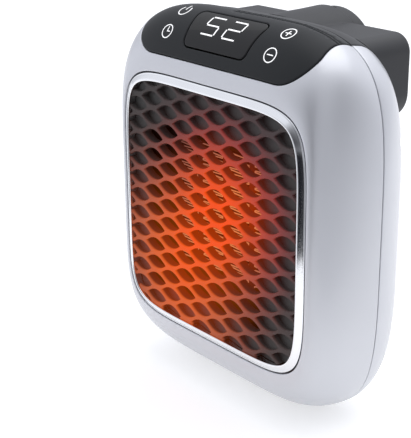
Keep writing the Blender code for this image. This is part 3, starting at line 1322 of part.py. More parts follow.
def make_turret():
    """Turning plug: the round base, its retainer and the two blades."""
    front = BOSS_BACK + TURRET_GAP
    turret = turned("plug_turret", [(0.0, TURRET_BACK), (TURRET_RADIUS - TURRET_ROUND, TURRET_BACK),
                                    (TURRET_RADIUS, TURRET_BACK - TURRET_ROUND),
                                    (TURRET_RADIUS, front), (NECK_RADIUS, front),
                                    (NECK_RADIUS, NECK_FRONT), (NECK_RECESS_RADIUS, NECK_FRONT),
                                    (NECK_RECESS_RADIUS, NECK_RECESS_END), (0.0, NECK_RECESS_END)],
                    TURRET_AXIS, CHARCOAL)
    notch_top = TURRET_HEIGHT + TURRET_RADIUS
    notch = box("cut_index_notch", (-NOTCH_WIDTH / 2.0, front - CUT_OVERRUN,
                                    notch_top - NOTCH_DEPTH),
                (NOTCH_WIDTH / 2.0, front + NOTCH_LENGTH, notch_top + CUT_OVERRUN), helper=True)
    boolean(turret, notch)
    retainer = cylinder("turret_retainer", RETAINER_RADIUS, RETAINER_FRONT, RETAINER_BACK,
                        TURRET_AXIS, CHARCOAL)
    inner_tab = INNER_TAB_PLACE - PIN_THICKNESS / 2.0, INNER_TAB_PLACE + PIN_THICKNESS / 2.0
    outer_tab = OUTER_TAB_PLACE - PIN_THICKNESS / 2.0, OUTER_TAB_PLACE + PIN_THICKNESS / 2.0
    half = PIN_WIDTH / 2.0
    tip = TURRET_BACK + PIN_LENGTH
    right = box("plug_blade_right", (inner_tab[0], LINK_FRONT, TURRET_HEIGHT - half),
                (inner_tab[1], tip, TURRET_HEIGHT + half), BRASS)
    left = box("plug_blade_left", (-inner_tab[1], LINK_FRONT, TURRET_HEIGHT - half),
               (-inner_tab[0], tip, TURRET_HEIGHT + half), BRASS)
    for side, blade, tab in ((1.0, right, inner_tab), (-1.0, left, outer_tab)):
        tag = "right" if side > 0.0 else "left"
        soften(blade, PIN_TIP_BEVEL)
        ends = sorted((side * tab[0], side * tab[1]))
        low, high = TURRET_HEIGHT - LINK_HALF_HEIGHT, TURRET_HEIGHT + LINK_HALF_HEIGHT
        tail = box("add_tail_" + tag, (ends[0], RETAINER_FRONT, low), (ends[1], LINK_BACK, high),
                   helper=True)
        boolean(blade, tail, "UNION")
        slot = box("cut_tail_" + tag, (ends[0] - FIT_GAP, RETAINER_FRONT - CUT_OVERRUN,
                                       low - FIT_GAP),
                   (ends[1] + FIT_GAP, RETAINER_BACK + CUT_OVERRUN, high + FIT_GAP), helper=True)
        boolean(retainer, slot)
        pass_low = sorted((side * inner_tab[0], side * inner_tab[1]))
        passage = box("cut_pin_" + tag, (pass_low[0] - FIT_GAP, NECK_FRONT,
                                         TURRET_HEIGHT - half - FIT_GAP),
                      (pass_low[1] + FIT_GAP, TURRET_BACK + CUT_OVERRUN,
                       TURRET_HEIGHT + half + FIT_GAP), helper=True)
        boolean(turret, passage)
    link = box("add_link", (-outer_tab[1], LINK_FRONT, TURRET_HEIGHT - LINK_HALF_HEIGHT),
               (-inner_tab[0], LINK_BACK, TURRET_HEIGHT + LINK_HALF_HEIGHT), helper=True)
    boolean(left, link, "UNION")
    make_rings_and_brushes()
    for side in (-1.0, 1.0):
        tag = "upper" if side > 0.0 else "lower"
        axis = (0.0, TURRET_HEIGHT + side * RETAINER_SCREW_RADIUS)
        cut_cylinder(retainer, "retainer_" + tag, RETAINER_HOLE_RADIUS,
                     RETAINER_FRONT - CUT_OVERRUN, RETAINER_BACK + CUT_OVERRUN, axis, WIRE_STEPS)
        post = cylinder("add_turret_post_" + tag, RETAINER_POST_RADIUS, NECK_FRONT,
                        NECK_RECESS_END + JOIN_BITE, axis, steps=SMALL_STEPS, helper=True)
        boolean(turret, post, "UNION")
        cut_cylinder(turret, "turret_" + tag, RETAINER_HOLE_RADIUS, NECK_FRONT - CUT_OVERRUN,
                     RETAINER_SCREW_END + FIT_GAP, axis, WIRE_STEPS)
        screw("retainer_screw_" + tag, RETAINER_HEAD_RADIUS, RETAINER_SHANK_RADIUS,
              SMALL_HEAD_HEIGHT, RETAINER_FRONT - FIT_GAP, RETAINER_SCREW_END, axis)


def make_rings_and_brushes():
    """Slip rings on the retainer, and the fixed brushes that press on them."""
    ring_back = RETAINER_FRONT - FIT_GAP
    ring_front = ring_back - RING_THICKNESS
    board_front = BACK_FACE + FIT_GAP
    board_back = board_front + CONTACT_BOARD_THICKNESS
    box("contact_board", (-CONTACT_BOARD_HALF_WIDTH, board_front, CONTACT_BOARD_BOTTOM),
        (CONTACT_BOARD_HALF_WIDTH, board_back, CONTACT_BOARD_TOP), BOARD_GREEN)
    for name, radius in (("inner", INNER_TAB_PLACE), ("outer", OUTER_TAB_PLACE)):
        inside, outside = radius - RING_WIDTH / 2.0, radius + RING_WIDTH / 2.0
        turned("slip_ring_" + name, [(outside, ring_back), (outside, ring_front),
                                     (inside, ring_front), (inside, ring_back)],
               TURRET_AXIS, BRASS, MEDIUM_STEPS, ring=True)
        cylinder("brush_" + name, BRUSH_RADIUS, board_back + FIT_GAP, ring_front - FIT_GAP,
                 (0.0, TURRET_HEIGHT - radius), CARBON, WIRE_STEPS)


make_front_shell()
make_touch_panel()
make_control_board()
make_frame()
make_grille()
make_baffle_and_duct()
make_element()
make_shroud()
make_impeller()
make_motor()
make_power_board()
make_rear_half()
make_housing()
make_turret()
carry("fan_axis", (0.0, IMPELLER_FRONT, 0.0), ("fan_impeller", "motor_shaft"))
carry("plug_axis", (0.0, TURRET_BACK, TURRET_HEIGHT),
      ("plug_turret", "plug_blade", "turret_retainer", "retainer_screw", "slip_ring"))
bpy.context.view_layer.update()
print(len([obj for obj in PARTS.objects if obj.type != "EMPTY"]), "pieces")
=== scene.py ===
# %% [markdown]
# # A plug-in fan heater, dressed piece by piece
#
# The frame that is loaded first holds the heater's solids, which carry its true sizes and
# its moving bodies. This lesson lays smooth, detailed pieces over them: two silver shells,
# a dark touch panel, a bright frame round an eye-patterned grille, fins with a painted glow
# behind it, and a plug housing on the back. All lengths are in metres. The shapes are worked
# out from the middle of the grille's front plane, with x across, y into the heater and z up.

# %% Load the solids and find the heater's middle
import math

import bmesh
import bpy
import numpy as np
from mathutils import Matrix, Vector
from mathutils.geometry import delaunay_2d_cdt
from mathutils.kdtree import KDTree


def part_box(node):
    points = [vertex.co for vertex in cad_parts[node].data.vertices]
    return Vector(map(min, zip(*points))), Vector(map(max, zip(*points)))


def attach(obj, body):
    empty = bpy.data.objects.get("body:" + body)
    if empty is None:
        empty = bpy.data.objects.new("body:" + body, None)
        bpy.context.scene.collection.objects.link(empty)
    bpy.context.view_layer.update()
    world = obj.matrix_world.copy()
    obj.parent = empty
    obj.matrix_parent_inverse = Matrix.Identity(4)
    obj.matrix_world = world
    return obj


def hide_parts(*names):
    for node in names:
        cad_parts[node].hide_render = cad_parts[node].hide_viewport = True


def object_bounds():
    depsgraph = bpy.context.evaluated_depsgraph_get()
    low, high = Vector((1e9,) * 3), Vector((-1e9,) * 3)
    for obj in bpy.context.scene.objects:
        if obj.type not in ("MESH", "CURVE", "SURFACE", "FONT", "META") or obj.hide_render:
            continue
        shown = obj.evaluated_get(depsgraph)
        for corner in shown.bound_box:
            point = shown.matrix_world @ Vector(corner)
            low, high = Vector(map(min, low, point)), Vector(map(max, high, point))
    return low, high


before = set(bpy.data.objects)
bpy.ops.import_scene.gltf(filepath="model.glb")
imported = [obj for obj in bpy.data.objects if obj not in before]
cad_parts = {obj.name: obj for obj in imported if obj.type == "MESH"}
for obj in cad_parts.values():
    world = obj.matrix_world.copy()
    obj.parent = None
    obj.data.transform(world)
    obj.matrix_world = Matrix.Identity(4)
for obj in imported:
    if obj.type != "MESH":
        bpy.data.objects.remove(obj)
cad_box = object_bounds()
scene = bpy.context.scene
frame_low, frame_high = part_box("grille_frame")
FRAME_RISE = 0.0012
MIDDLE = Vector((0.0, frame_low.y + FRAME_RISE, (frame_low.z + frame_high.z) / 2.0))
FRAME_HALF_WIDTH = (frame_high.x - frame_low.x) / 2.0
FRAME_HALF_HEIGHT = (frame_high.z - frame_low.z) / 2.0
print("solids:", len(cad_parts), "frame half size:", FRAME_HALF_WIDTH, FRAME_HALF_HEIGHT)

# %% [markdown]
# ## The camera
#
# The camera stands where the photograph's camera stood, solved together with the heater's
# proportions. The light and the paper floor come last, once there is something to light.

# %% Camera, at the photograph's viewing angle
CAMERA_PLACE = (0.3257, -0.3333, 0.1018)
CAMERA_AZIMUTH, CAMERA_ELEVATION, CAMERA_ROLL = 50.97, 20.18, -0.57
CAMERA_LENS, SENSOR_WIDTH = 96.72, 36.0
CLIP_NEAR, CLIP_FAR = 0.01, 20.0


def placed(name, data):
    """A new object in the scene that shows some data."""
    holder = bpy.data.objects.new(name, data)
    scene.collection.objects.link(holder)
    return holder


def camera_turn(azimuth, elevation, roll):
    """Rotation of a camera that looks along an azimuth, down by an elevation."""
    turned, down, rolled = map(math.radians, (azimuth, elevation, roll))
    forward = Vector((-math.sin(turned) * math.cos(down), math.cos(turned) * math.cos(down),
                      -math.sin(down)))
    right = Vector((math.cos(turned), math.sin(turned), 0.0))
    up = right.cross(forward)
    across = math.cos(rolled) * right + math.sin(rolled) * up
    upright = -math.sin(rolled) * right + math.cos(rolled) * up
    return Matrix((across, upright, -forward)).transposed()


camera_data = bpy.data.cameras.new("camera")
camera_data.sensor_width = SENSOR_WIDTH
camera_data.lens = CAMERA_LENS
camera_data.clip_start, camera_data.clip_end = CLIP_NEAR, CLIP_FAR
camera = placed("camera", camera_data)
camera.matrix_world = (Matrix.Translation(CAMERA_PLACE)
                       @ camera_turn(CAMERA_AZIMUTH, CAMERA_ELEVATION, CAMERA_ROLL).to_4x4())
scene.camera = camera
scene.view_settings.view_transform = "Standard"
print("camera at", CAMERA_PLACE)

# %% [markdown]
# ## Arithmetic on material sockets
#
# A material is a graph of nodes. Written node by node it is long, so one small class wraps
# a socket and turns Python's own signs into Math nodes, and one method adds any other node.

# %% Sockets that can be calculated with


class Field:
    """A node's output that Python's signs work on."""

    def __init__(self, graph, socket):
        self.graph, self.socket = graph, socket

    def __add__(self, other):
        return self.graph.maths("ADD", self, other)

    def __radd__(self, other):
        return self.graph.maths("ADD", other, self)

    def __sub__(self, other):
        return self.graph.maths("SUBTRACT", self, other)

    def __rsub__(self, other):
        return self.graph.maths("SUBTRACT", other, self)

    def __mul__(self, other):
        return self.graph.maths("MULTIPLY", self, other)

    def __truediv__(self, other):
        return self.graph.maths("DIVIDE", self, other)


class Graph:
    """A node tree that is being built."""

    def __init__(self, tree):
        self.tree = tree

    def add(self, kind, settings=None, sockets=None):
        """Add a node: its settings first, then the values or links of its sockets."""
        node = self.tree.nodes.new(kind)
        for key, value in (settings or {}).items():
            if key == "stops":
                ramp = node.color_ramp
                while len(ramp.elements) < len(value):
                    ramp.elements.new(1.0)
                for element, (place, colour) in zip(ramp.elements, value):
                    element.position, element.color = place, (*colour, 1.0)
            else:
                setattr(node, key, value)
        for key, value in (sockets or {}).items():
            if isinstance(value, Field):
                self.tree.links.new(value.socket, node.inputs[key])
            else:
                node.inputs[key].default_value = value
        return node

    def field(self, kind, settings=None, sockets=None, output=0):
        """Add a node and give one of its outputs."""
        return Field(self, self.add(kind, settings, sockets).outputs[output])

    def maths(self, operation, *values):
        """Add a Math node."""
        return self.field("ShaderNodeMath", {"operation": operation}, dict(enumerate(values)))

    def step_up(self, value, start, end):
        """0 up to a start, 1 from an end, and a straight line between."""
        share = (value - start) / (end - start)
        return self.maths("MINIMUM", self.maths("MAXIMUM", share, 0.0), 1.0)

    def blend(self, share, first, second):
        """A colour between two colours, each a colour or a field."""
        first, second = [value if isinstance(value, Field) else (*value, 1.0)
                         for value in (first, second)]
        return self.field("ShaderNodeMix", {"data_type": "RGBA"},
                          {0: share, 6: first, 7: second}, output=2)


class Finish(Graph):
    """A material, read from the piece's own coordinates."""

    def __init__(self, name):
        self.material = bpy.data.materials.new(name)
        self.material.use_nodes = True
        super().__init__(self.material.node_tree)
        self.tree.nodes.clear()
        self.place = self.field("ShaderNodeTexCoord", output="Object")
        parts = self.add("ShaderNodeSeparateXYZ", sockets={0: self.place})
        x, y, z = (Field(self, output) for output in parts.outputs)
        self.x, self.y, self.z = x, y - MIDDLE.y, z - MIDDLE.z

    def noise(self, scale, detail=2.0):
        """Smooth noise from 0 to 1, with scale features in a metre."""
        return self.field("ShaderNodeTexNoise", sockets={
            "Vector": self.place, "Scale": scale, "Detail": detail})

    def between(self, share, low, high):
        """A number that runs from low to high as the share goes from 0 to 1."""
        return low + share * (high - low)

    def ramp(self, share, stops):
        """A colour read off a scale of stops."""
        return self.field("ShaderNodeValToRGB", {"stops": stops}, {0: share})

    def hill(self, centre, widths):
        """1 at a place of the grille's plane, falling to 0 over the given widths."""
        across = (self.x - centre[0]) / widths[0]
        up = (self.z - centre[1]) / widths[1]
        return self.maths("EXPONENT", (across * across + up * up) * -1.0)

    def relief(self, height, distance):
        """A normal that shows a small height field."""
        return self.field("ShaderNodeBump", sockets={"Height": height, "Distance": distance})

    def done(self, **values):
        """Close the material with a Principled shader and give the material."""
        sockets = {}
        for key, value in values.items():
            name = key.replace("_", " ").title().replace("Ior", "IOR")
            if isinstance(value, tuple) and len(value) == 3:
                value = (*value, 1.0)
            sockets[name] = value
        shader = self.field("ShaderNodeBsdfPrincipled", sockets=sockets)
        self.add("ShaderNodeOutputMaterial", sockets={"Surface": shader})
        return self.material


print("helpers ready")

# %% [markdown]
# ## The paints and plastics
#
# The shell is silver plastic under a clear pearl lacquer: a half metallic base with fine
# flakes and a smooth coat on top. The panel and the back are charcoal plastic with a fine
# spark-eroded grain. Each finish varies a little over its surface, since no moulding is
# perfectly even.

# %% Silver lacquer
silver = Finish("silver_lacquer")
flakes = silver.noise(5200.0, 1.0)
clouds = silver.noise(38.0)
SILVER_DARK, SILVER_LIGHT = (0.69, 0.70, 0.737), (0.765, 0.775, 0.81)
SILVER = silver.done(
    base_color=silver.blend(clouds * 0.6 + flakes * 0.4, SILVER_DARK, SILVER_LIGHT),
    metallic=0.6, roughness=silver.between(flakes, 0.40, 0.48), coat_weight=0.6,
    coat_roughness=0.14, coat_ior=1.7, normal=silver.relief(flakes, 0.000003))
print("lacquer:", SILVER.name)

# %% Charcoal plastics and the lit signs


def moulded(name, dark, light, roughness, grain=2600.0, depth=0.00001, shine=0.5):
    """A moulded plastic with a fine grain and slightly uneven colour."""
    made = Finish(name)
    fine, broad = made.noise(grain), made.noise(55.0, 3.0)
    return made.done(base_color=made.blend(fine * 0.5 + broad * 0.5, dark, light),
                     roughness=made.between(fine * 0.4 + broad * 0.6, roughness - 0.05,
                                            roughness + 0.07),
                     specular_ior_level=shine, normal=made.relief(fine, depth))


PANEL = moulded("charcoal_panel", (0.018, 0.020, 0.022), (0.025, 0.027, 0.029), 0.40,
                shine=0.22)
BACK_DARK = moulded("charcoal_back", (0.030, 0.031, 0.034), (0.040, 0.041, 0.044), 0.48)
sign = Finish("lit_signs")
SIGN = sign.done(
    base_color=(0.85, 0.85, 0.85), roughness=sign.between(sign.noise(900.0), 0.4, 0.6),
    emission_color=sign.blend(sign.noise(300.0), (0.80, 0.81, 0.82), (0.9, 0.9, 0.9)),
    emission_strength=0.75)
print("plastics:", PANEL.name, BACK_DARK.name, SIGN.name)

# %% Metals and the inner parts


def metal(name, dark, light, roughness, grain=1400.0, depth=0.000004):
    """A metal with a fine uneven polish."""
    made = Finish(name)
    fine, broad = made.noise(grain), made.noise(70.0)
    return made.done(base_color=made.blend(broad, dark, light), metallic=1.0,
                     roughness=made.between(fine, roughness, roughness + 0.1),
                     normal=made.relief(fine, depth))


BRIGHT = metal("bright_plating", (0.86, 0.87, 0.89), (0.93, 0.94, 0.95), 0.06, depth=0.000001)
STEEL = metal("zinc_steel", (0.50, 0.51, 0.53), (0.62, 0.63, 0.65), 0.28)
BRASS = metal("plug_brass", (0.72, 0.56, 0.28), (0.80, 0.64, 0.35), 0.24, 900.0, 0.0000008)
FAN_WHITE = moulded("fan_plastic", (0.16, 0.16, 0.16), (0.20, 0.20, 0.20), 0.5)
BOARD = moulded("green_board", (0.015, 0.09, 0.035), (0.02, 0.12, 0.05), 0.4)
BLUE = moulded("blue_case", (0.03, 0.10, 0.30), (0.04, 0.13, 0.36), 0.4)
FOAM = moulded("grey_foam", (0.10, 0.10, 0.10), (0.16, 0.16, 0.16), 0.9, 1200.0, 0.00005)
RED = moulded("red_sleeve", (0.38, 0.03, 0.02), (0.46, 0.04, 0.03), 0.5)
CARBON = moulded("carbon", (0.02, 0.02, 0.02), (0.035, 0.035, 0.035), 0.55)
print("finishes so far:", len(bpy.data.materials))

# %% [markdown]
# ## The glow
#
# The ceramic bars heat the fins, which colour the grille from inside. That light is painted:
# the grille, the air path and the fins are no lamps, and an emission paints the glow on them.
# The painted light is strongest left of the middle and fades through dark red to the plain
# grey of the corners. It follows the place on the grille, so it stays the same from every
# side. Deeper surfaces get a browner, dimmer painted glow.

# %% Glowing grille, air path and fins
# Each painted glow is a level, a centre and two widths on the grille's plane.
HIGH_GLOW = (0.73, (0.0096, 0.0073), (0.0282, 0.0267))
LOW_GLOW = (0.80, (-0.0187, -0.0273), (0.0388, 0.0389))
MOST_HEAT, LEAST_HEAT = 0.92, 0.01
GRILLE_FRONT = -0.0004


def glow(made):
    """How much the heat lights a place, from 0 to 1, and how much of it comes from low left."""
    high, low = (made.hill(centre, widths) * level
                 for level, centre, widths in (HIGH_GLOW, LOW_GLOW))
    return made.maths("MINIMUM", high + low, MOST_HEAT), low / (high + low + LEAST_HEAT)


def heated(name, plain, near, deep, depths, roughness, metallic=0.0):
    """A dark material lit by the heat, by other colours deeper in than near the front.

    Each of near and deep is a pair of colour scales: for the red glow and the browner one.
    """
    made = Finish(name)
    fine, broad = made.noise(1900.0), made.noise(160.0, 3.0)
    heat, brown = glow(made)
    heat = heat * made.between(broad, 0.93, 1.04)
    lights = [made.blend(brown, made.ramp(heat, red), made.ramp(heat, dull))
              for red, dull in (near, deep)]
    # Painted light: the emission paints the heat's glow, and deeper places take the dimmer deep
    # scales as painted shade.
    light = made.blend(made.step_up(made.y, *depths), *lights)
    # The base colour darkens where the painted glow is strong.
    return made.done(base_color=made.blend(heat, plain, tuple(value * 0.1 for value in plain)),
                     roughness=made.between(fine, roughness - 0.06, roughness + 0.08),
                     metallic=metallic, specular_ior_level=0.07,
                     normal=made.relief(fine, 0.000012), emission_color=light,
                     emission_strength=1.0)


# Colour scales of the painted glow: brightest on the grille's ribs, dimmer in its cells and dimmest
# deep inside.
BLACK = (0.0, (0.0, 0.0, 0.0))
RIB_RED = (BLACK, (0.10, (0.030, 0.001, 0.002)), (0.25, (0.20, 0.008, 0.008)),
           (0.50, (0.46, 0.026, 0.006)), (0.75, (0.74, 0.054, 0.003)), (0.92, (0.93, 0.068, 0.001)))
RIB_BROWN = (BLACK, (0.10, (0.030, 0.006, 0.002)), (0.25, (0.19, 0.034, 0.012)),
             (0.50, (0.47, 0.085, 0.018)), (0.75, (0.73, 0.105, 0.008)),
             (0.92, (0.94, 0.095, 0.003)))
CELL_RED = (BLACK, (0.20, (0.012, 0.001, 0.001)), (0.50, (0.11, 0.009, 0.001)),
            (0.92, (0.34, 0.026, 0.0006)))
CELL_BROWN = (BLACK, (0.20, (0.012, 0.002, 0.0)), (0.50, (0.12, 0.015, 0.0008)),
              (0.92, (0.34, 0.034, 0.0008)))
DEEP_RED = (BLACK, (0.20, (0.004, 0.0004, 0.0)), (0.50, (0.07, 0.008, 0.0004)),
            (0.92, (0.22, 0.024, 0.0006)))
DEEP_BROWN = (BLACK, (0.20, (0.006, 0.001, 0.0)), (0.50, (0.12, 0.022, 0.0006)),
              (0.92, (0.24, 0.034, 0.0008)))
# Painted glints: the fins' front edges get a brighter painted glow than their sheets.
FIN_EDGE_PAINTED_GLINT = (BLACK, (0.20, (0.14, 0.05, 0.04)), (0.50, (0.45, 0.13, 0.07)),
            (0.92, (0.80, 0.22, 0.07)))
SHEET_RED = (BLACK, (0.50, (0.05, 0.005, 0.001)), (0.92, (0.15, 0.014, 0.001)))
# The grille carries painted light from the heat, brighter on its ribs than in its cells.
GRILLE = heated("glowing_grille", (0.088, 0.091, 0.088), (RIB_RED, RIB_BROWN),
                (CELL_RED, CELL_BROWN), (GRILLE_FRONT + 0.0002, GRILLE_FRONT + 0.0013), 0.5)
AIR_PATH = heated("air_path", (0.02, 0.018, 0.017), (DEEP_RED, DEEP_BROWN),
                  (DEEP_RED, DEEP_BROWN), (0.0, 0.1), 0.6)
# The fins carry a painted glow, with painted glints on their front edges.
FINS = heated("folded_fins", (0.16, 0.13, 0.12), (FIN_EDGE_PAINTED_GLINT, FIN_EDGE_PAINTED_GLINT),
              (SHEET_RED, SHEET_RED), (0.0089, 0.0096), 0.35, metallic=0.8)
BARS = heated("hot_ceramic", (0.10, 0.085, 0.08), (CELL_RED, CELL_BROWN),
              (DEEP_RED, DEEP_BROWN), (0.0090, 0.0110), 0.6)
print("materials:", len(bpy.data.materials))

# %% [markdown]
# ## The body's surface
#
# Seen from the front, the body is a rounded square that turns squarer towards the frame.
# The same rule gave the solids their shape, so the fine surface here is written as the
# same curves, at any place and not just at the solids' few points. A place on the front
# half is given by a flat map: the rim of the frame, and how far outwards a place lies.

# %% The rule of the body's sections
shell_low, shell_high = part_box("front_shell")
SEAM = shell_high.y - MIDDLE.y
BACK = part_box("rear_shell")[1].y - MIDDLE.y
HALF_WIDTH = (shell_high.x - shell_low.x) / 2.0
TOP, BOTTOM = 0.0760, -0.0740
RIM, FLANGE_GAP, FLANGE_DEPTH = 0.0008, 0.0004, 0.0036
SIDE_REACH, TOP_REACH, BOTTOM_REACH = SEAM * 0.987, SEAM * 0.7135, SEAM * 1.225
TOP_FALL = 0.0017
FRONT_POWER, BODY_POWER = 6.1, 4.35
FRONT_MAP, REAR_MAP, FLANGE_BEND = 0.034, 0.031, 0.0006
SIDE_DRAW, END_DRAW = 0.0185, 0.0235
print("seam at", round(SEAM, 5), "back at", round(BACK, 5), "half width", round(HALF_WIDTH, 5))


def risen(depth, reach):
    """How far a quarter ellipse has risen at a depth."""
    left = np.clip(1.0 - depth / reach, 0.0, None)
    return np.sqrt(1.0 - left * left)


def front_section(depth):
    """Half width, top, bottom and power of the section at a depth."""
    start_width, start_height = FRAME_HALF_WIDTH + RIM, FRAME_HALF_HEIGHT + RIM
    wide = start_width + (HALF_WIDTH - start_width) * risen(depth, SIDE_REACH)
    past = np.clip(depth - TOP_REACH, 0.0, None) / (SEAM - TOP_REACH)
    top = start_height + (TOP - start_height) * risen(depth, TOP_REACH) - TOP_FALL * past ** 2
    bottom = -start_height + (BOTTOM + start_height) * risen(depth, BOTTOM_REACH)
    power = FRONT_POWER + (BODY_POWER - FRONT_POWER) * np.sqrt(depth / SEAM)
    return wide, top, bottom, power


def polar(angle, wide, high, power):
    """Distance from the middle to a rounded square, along an angle."""
    across, up = np.abs(np.cos(angle)) / wide, np.abs(np.sin(angle)) / high
    return (across ** power + up ** power) ** (-1.0 / power)


def to_polar(flat):
    """The angle and radius of places on a flat map."""
    return np.arctan2(flat[:, 1], flat[:, 0]), np.hypot(flat[:, 0], flat[:, 1])


def from_polar(angle, radius):
    """Places on a flat map by their angle and radius."""
    return np.stack([radius * np.cos(angle), radius * np.sin(angle)], 1)


def rim_radius(angle):
    """The rim beside the bright frame, where the map of the front half begins."""
    return polar(angle, FRAME_HALF_WIDTH + RIM, FRAME_HALF_HEIGHT + RIM, FRONT_POWER)


def on_front(flat):
    """Points of the front half's surface for places on its map."""
    angle, radius = to_polar(flat)
    share = (radius - rim_radius(angle)) / FRONT_MAP
    depth = SEAM * (1.0 - np.cos(np.clip(share, 0.0, 1.0) * np.pi / 2.0))
    wide, top, bottom, power = front_section(depth)
    out = polar(angle, wide, (top - bottom) / 2.0, power)
    # Inside the rim the map follows a small round and then a flange beside the frame.
    past = np.clip(rim_radius(angle) - radius, 0.0, None)
    bend = np.clip(past / FLANGE_BEND, 0.0, 1.0) * np.pi / 2.0
    round_size = RIM - FLANGE_GAP
    out = out - round_size * np.sin(bend)
    depth = depth + round_size * (1.0 - np.cos(bend)) + np.clip(past - FLANGE_BEND, 0.0, None)
    return np.stack([out * np.cos(angle), depth, (top + bottom) / 2.0 + out * np.sin(angle)], 1)


def front_map(points):
    """Places on the front map for points of the surface."""
    depth = np.clip(points[:, 1], 0.0, SEAM)
    _, top, bottom, _ = front_section(depth)
    angle = np.arctan2(points[:, 2] - (top + bottom) / 2.0, points[:, 0])
    share = np.arccos(1.0 - depth / SEAM) * 2.0 / np.pi
    radius = rim_radius(angle) + share * FRONT_MAP + np.clip(points[:, 1] - SEAM, 0.0, None)
    return from_polar(angle, radius)


ROOT = math.sqrt(2.0)


def slope_of(points):
    """Across and along the 45 degree top slope, from the frame's top edge."""
    return np.stack([points[:, 0], (points[:, 1] + points[:, 2] - FRAME_HALF_HEIGHT) / ROOT], 1)


def bisected(low, high, holds, rounds):
    """Where a rule stops holding between low and high, found by halving."""
    for _ in range(rounds):
        middle = (low + high) / 2.0
        held = holds(middle)
        low, high = np.where(held, middle, low), np.where(held, high, middle)
    return low


def on_slope(flat):
    """Points of the front half's surface for places on the top slope."""
    across, along = flat[:, 0], flat[:, 1]

    def inside(above):
        depth, up = (along - above) / ROOT, FRAME_HALF_HEIGHT + (along + above) / ROOT
        wide, top, bottom, power = front_section(np.clip(depth, 0.0, SEAM))
        rise = np.abs((2.0 * up - top - bottom) / (top - bottom))
        return (depth > 0.0) & ((np.abs(across) / wide) ** power + rise ** power < 1.0)

    above = bisected(np.full(len(flat), -0.02), np.full(len(flat), 0.03), inside, 34)
    return np.stack([across, (along - above) / ROOT,
                     FRAME_HALF_HEIGHT + (along + above) / ROOT], 1)


# %% The rear half: a turned edge round a flat back
_, seam_top, seam_bottom, _ = (float(value) for value in front_section(np.array(SEAM)))
REAR_MIDDLE = (seam_top + seam_bottom) / 2.0
REAR_HALF_HEIGHT = (seam_top - seam_bottom) / 2.0


def rear_radius(angle, share):
    """How far out the rear half lies, from its flat back at 0 to the seam at 1."""
    drawn = 1.0 - np.sin(share * np.pi / 2.0)
    return polar(angle, HALF_WIDTH - SIDE_DRAW * drawn, REAR_HALF_HEIGHT - END_DRAW * drawn,
                 BODY_POWER)


def back_radius(angle):
    """The edge of the flat back."""
    return rear_radius(angle, 0.0)


def on_rear(flat):
    """Points of the rear half's surface for places on its map, which is the flat back."""
    angle, radius = to_polar(flat)
    share = np.clip((radius - back_radius(angle)) / REAR_MAP, 0.0, 1.0)
    out = np.where(radius < back_radius(angle), radius, rear_radius(angle, share))
    depth = SEAM + (BACK - SEAM) * np.cos(share * np.pi / 2.0)
    return np.stack([out * np.cos(angle), depth, REAR_MIDDLE + out * np.sin(angle)], 1)


def rear_map(seen):
    """Places on the rear map for places seen from behind."""
    angle, radius = to_polar(seen - (0.0, REAR_MIDDLE))
    share = bisected(np.zeros(len(seen)), np.ones(len(seen)),
                     lambda share: rear_radius(angle, share) < radius, 30)
    beyond = np.clip(radius - rear_radius(angle, 1.0), 0.0, None)
    mapped = back_radius(angle) + share * REAR_MAP + beyond
    return from_polar(angle, np.where(radius < back_radius(angle), radius, mapped))


print("back half height", round(REAR_HALF_HEIGHT, 5))

# %% [markdown]
# ## Cutting a patch out of a surface
#
# A moulded shell has crisp outlines with softly rounded lips. One way is a boolean cut,
# but it leaves ragged edges on a smooth skin. Here a triangulation takes the outlines as
# fixed lines on the flat map, and each point then moves to the surface. Points close to an
# edge sink a little, which rounds the lip, and an inner copy gives the wall.

# %% Outline helpers


def rounded(corners, steps=12):
    """Points of a polygon whose corners, each (x, y, radius), are rounded by arcs."""
    points = []
    for index, (x, y, radius) in enumerate(corners):
        here = Vector((x, y))
        back = (Vector(corners[index - 1][:2]) - here).normalized()
        ahead = (Vector(corners[(index + 1) % len(corners)][:2]) - here).normalized()
        if not radius:
            points.append(tuple(here))
            continue
        half = back.angle(ahead) / 2.0
        centre = here + (back + ahead).normalized() * radius / math.sin(half)
        start = here + back * radius / math.tan(half) - centre
        end = here + ahead * radius / math.tan(half) - centre
        sweep = start.angle_signed(end)
        for step in range(steps + 1):
            points.append(tuple(centre + Matrix.Rotation(-sweep * step / steps, 2) @ start))
    return np.array(points)


def divided(outline, step, closed=True):
    """The outline with more points, no further apart than a step."""
    ends = np.roll(outline, -1, 0) if closed else outline[1:]
    points = []
    for start, end in zip(outline, ends):
        count = max(1, math.ceil(np.hypot(*(end - start)) / step))
        points.extend(start + (end - start) * index / count for index in range(count))
    if not closed:
        points.append(outline[-1])
    return np.array(points)


def grown(outline, distance, closed=True):
    """The outline moved outwards, for one that runs counterclockwise."""
    before, after = np.roll(outline, 1, 0), np.roll(outline, -1, 0)
    if not closed:
        before[0], after[-1] = outline[0], outline[-1]
    along = after - before
    along /= np.hypot(along[:, 0], along[:, 1])[:, None]
    return outline + np.stack([along[:, 1], -along[:, 0]], 1) * distance


def distance_to(points, outline, closed=True):
    """Shortest distance from each point to an outline."""
    ends = np.roll(outline, -1, 0) if closed else outline[1:]
    starts = outline if closed else outline[:-1]
    best = np.full(len(points), np.inf)
    for start, end in zip(starts, ends):
        along = end - start
        share = np.clip((points - start) @ along / max(along @ along, 1e-18), 0.0, 1.0)
        gap = points - start - share[:, None] * along
        best = np.minimum(best, np.hypot(gap[:, 0], gap[:, 1]))
    return best


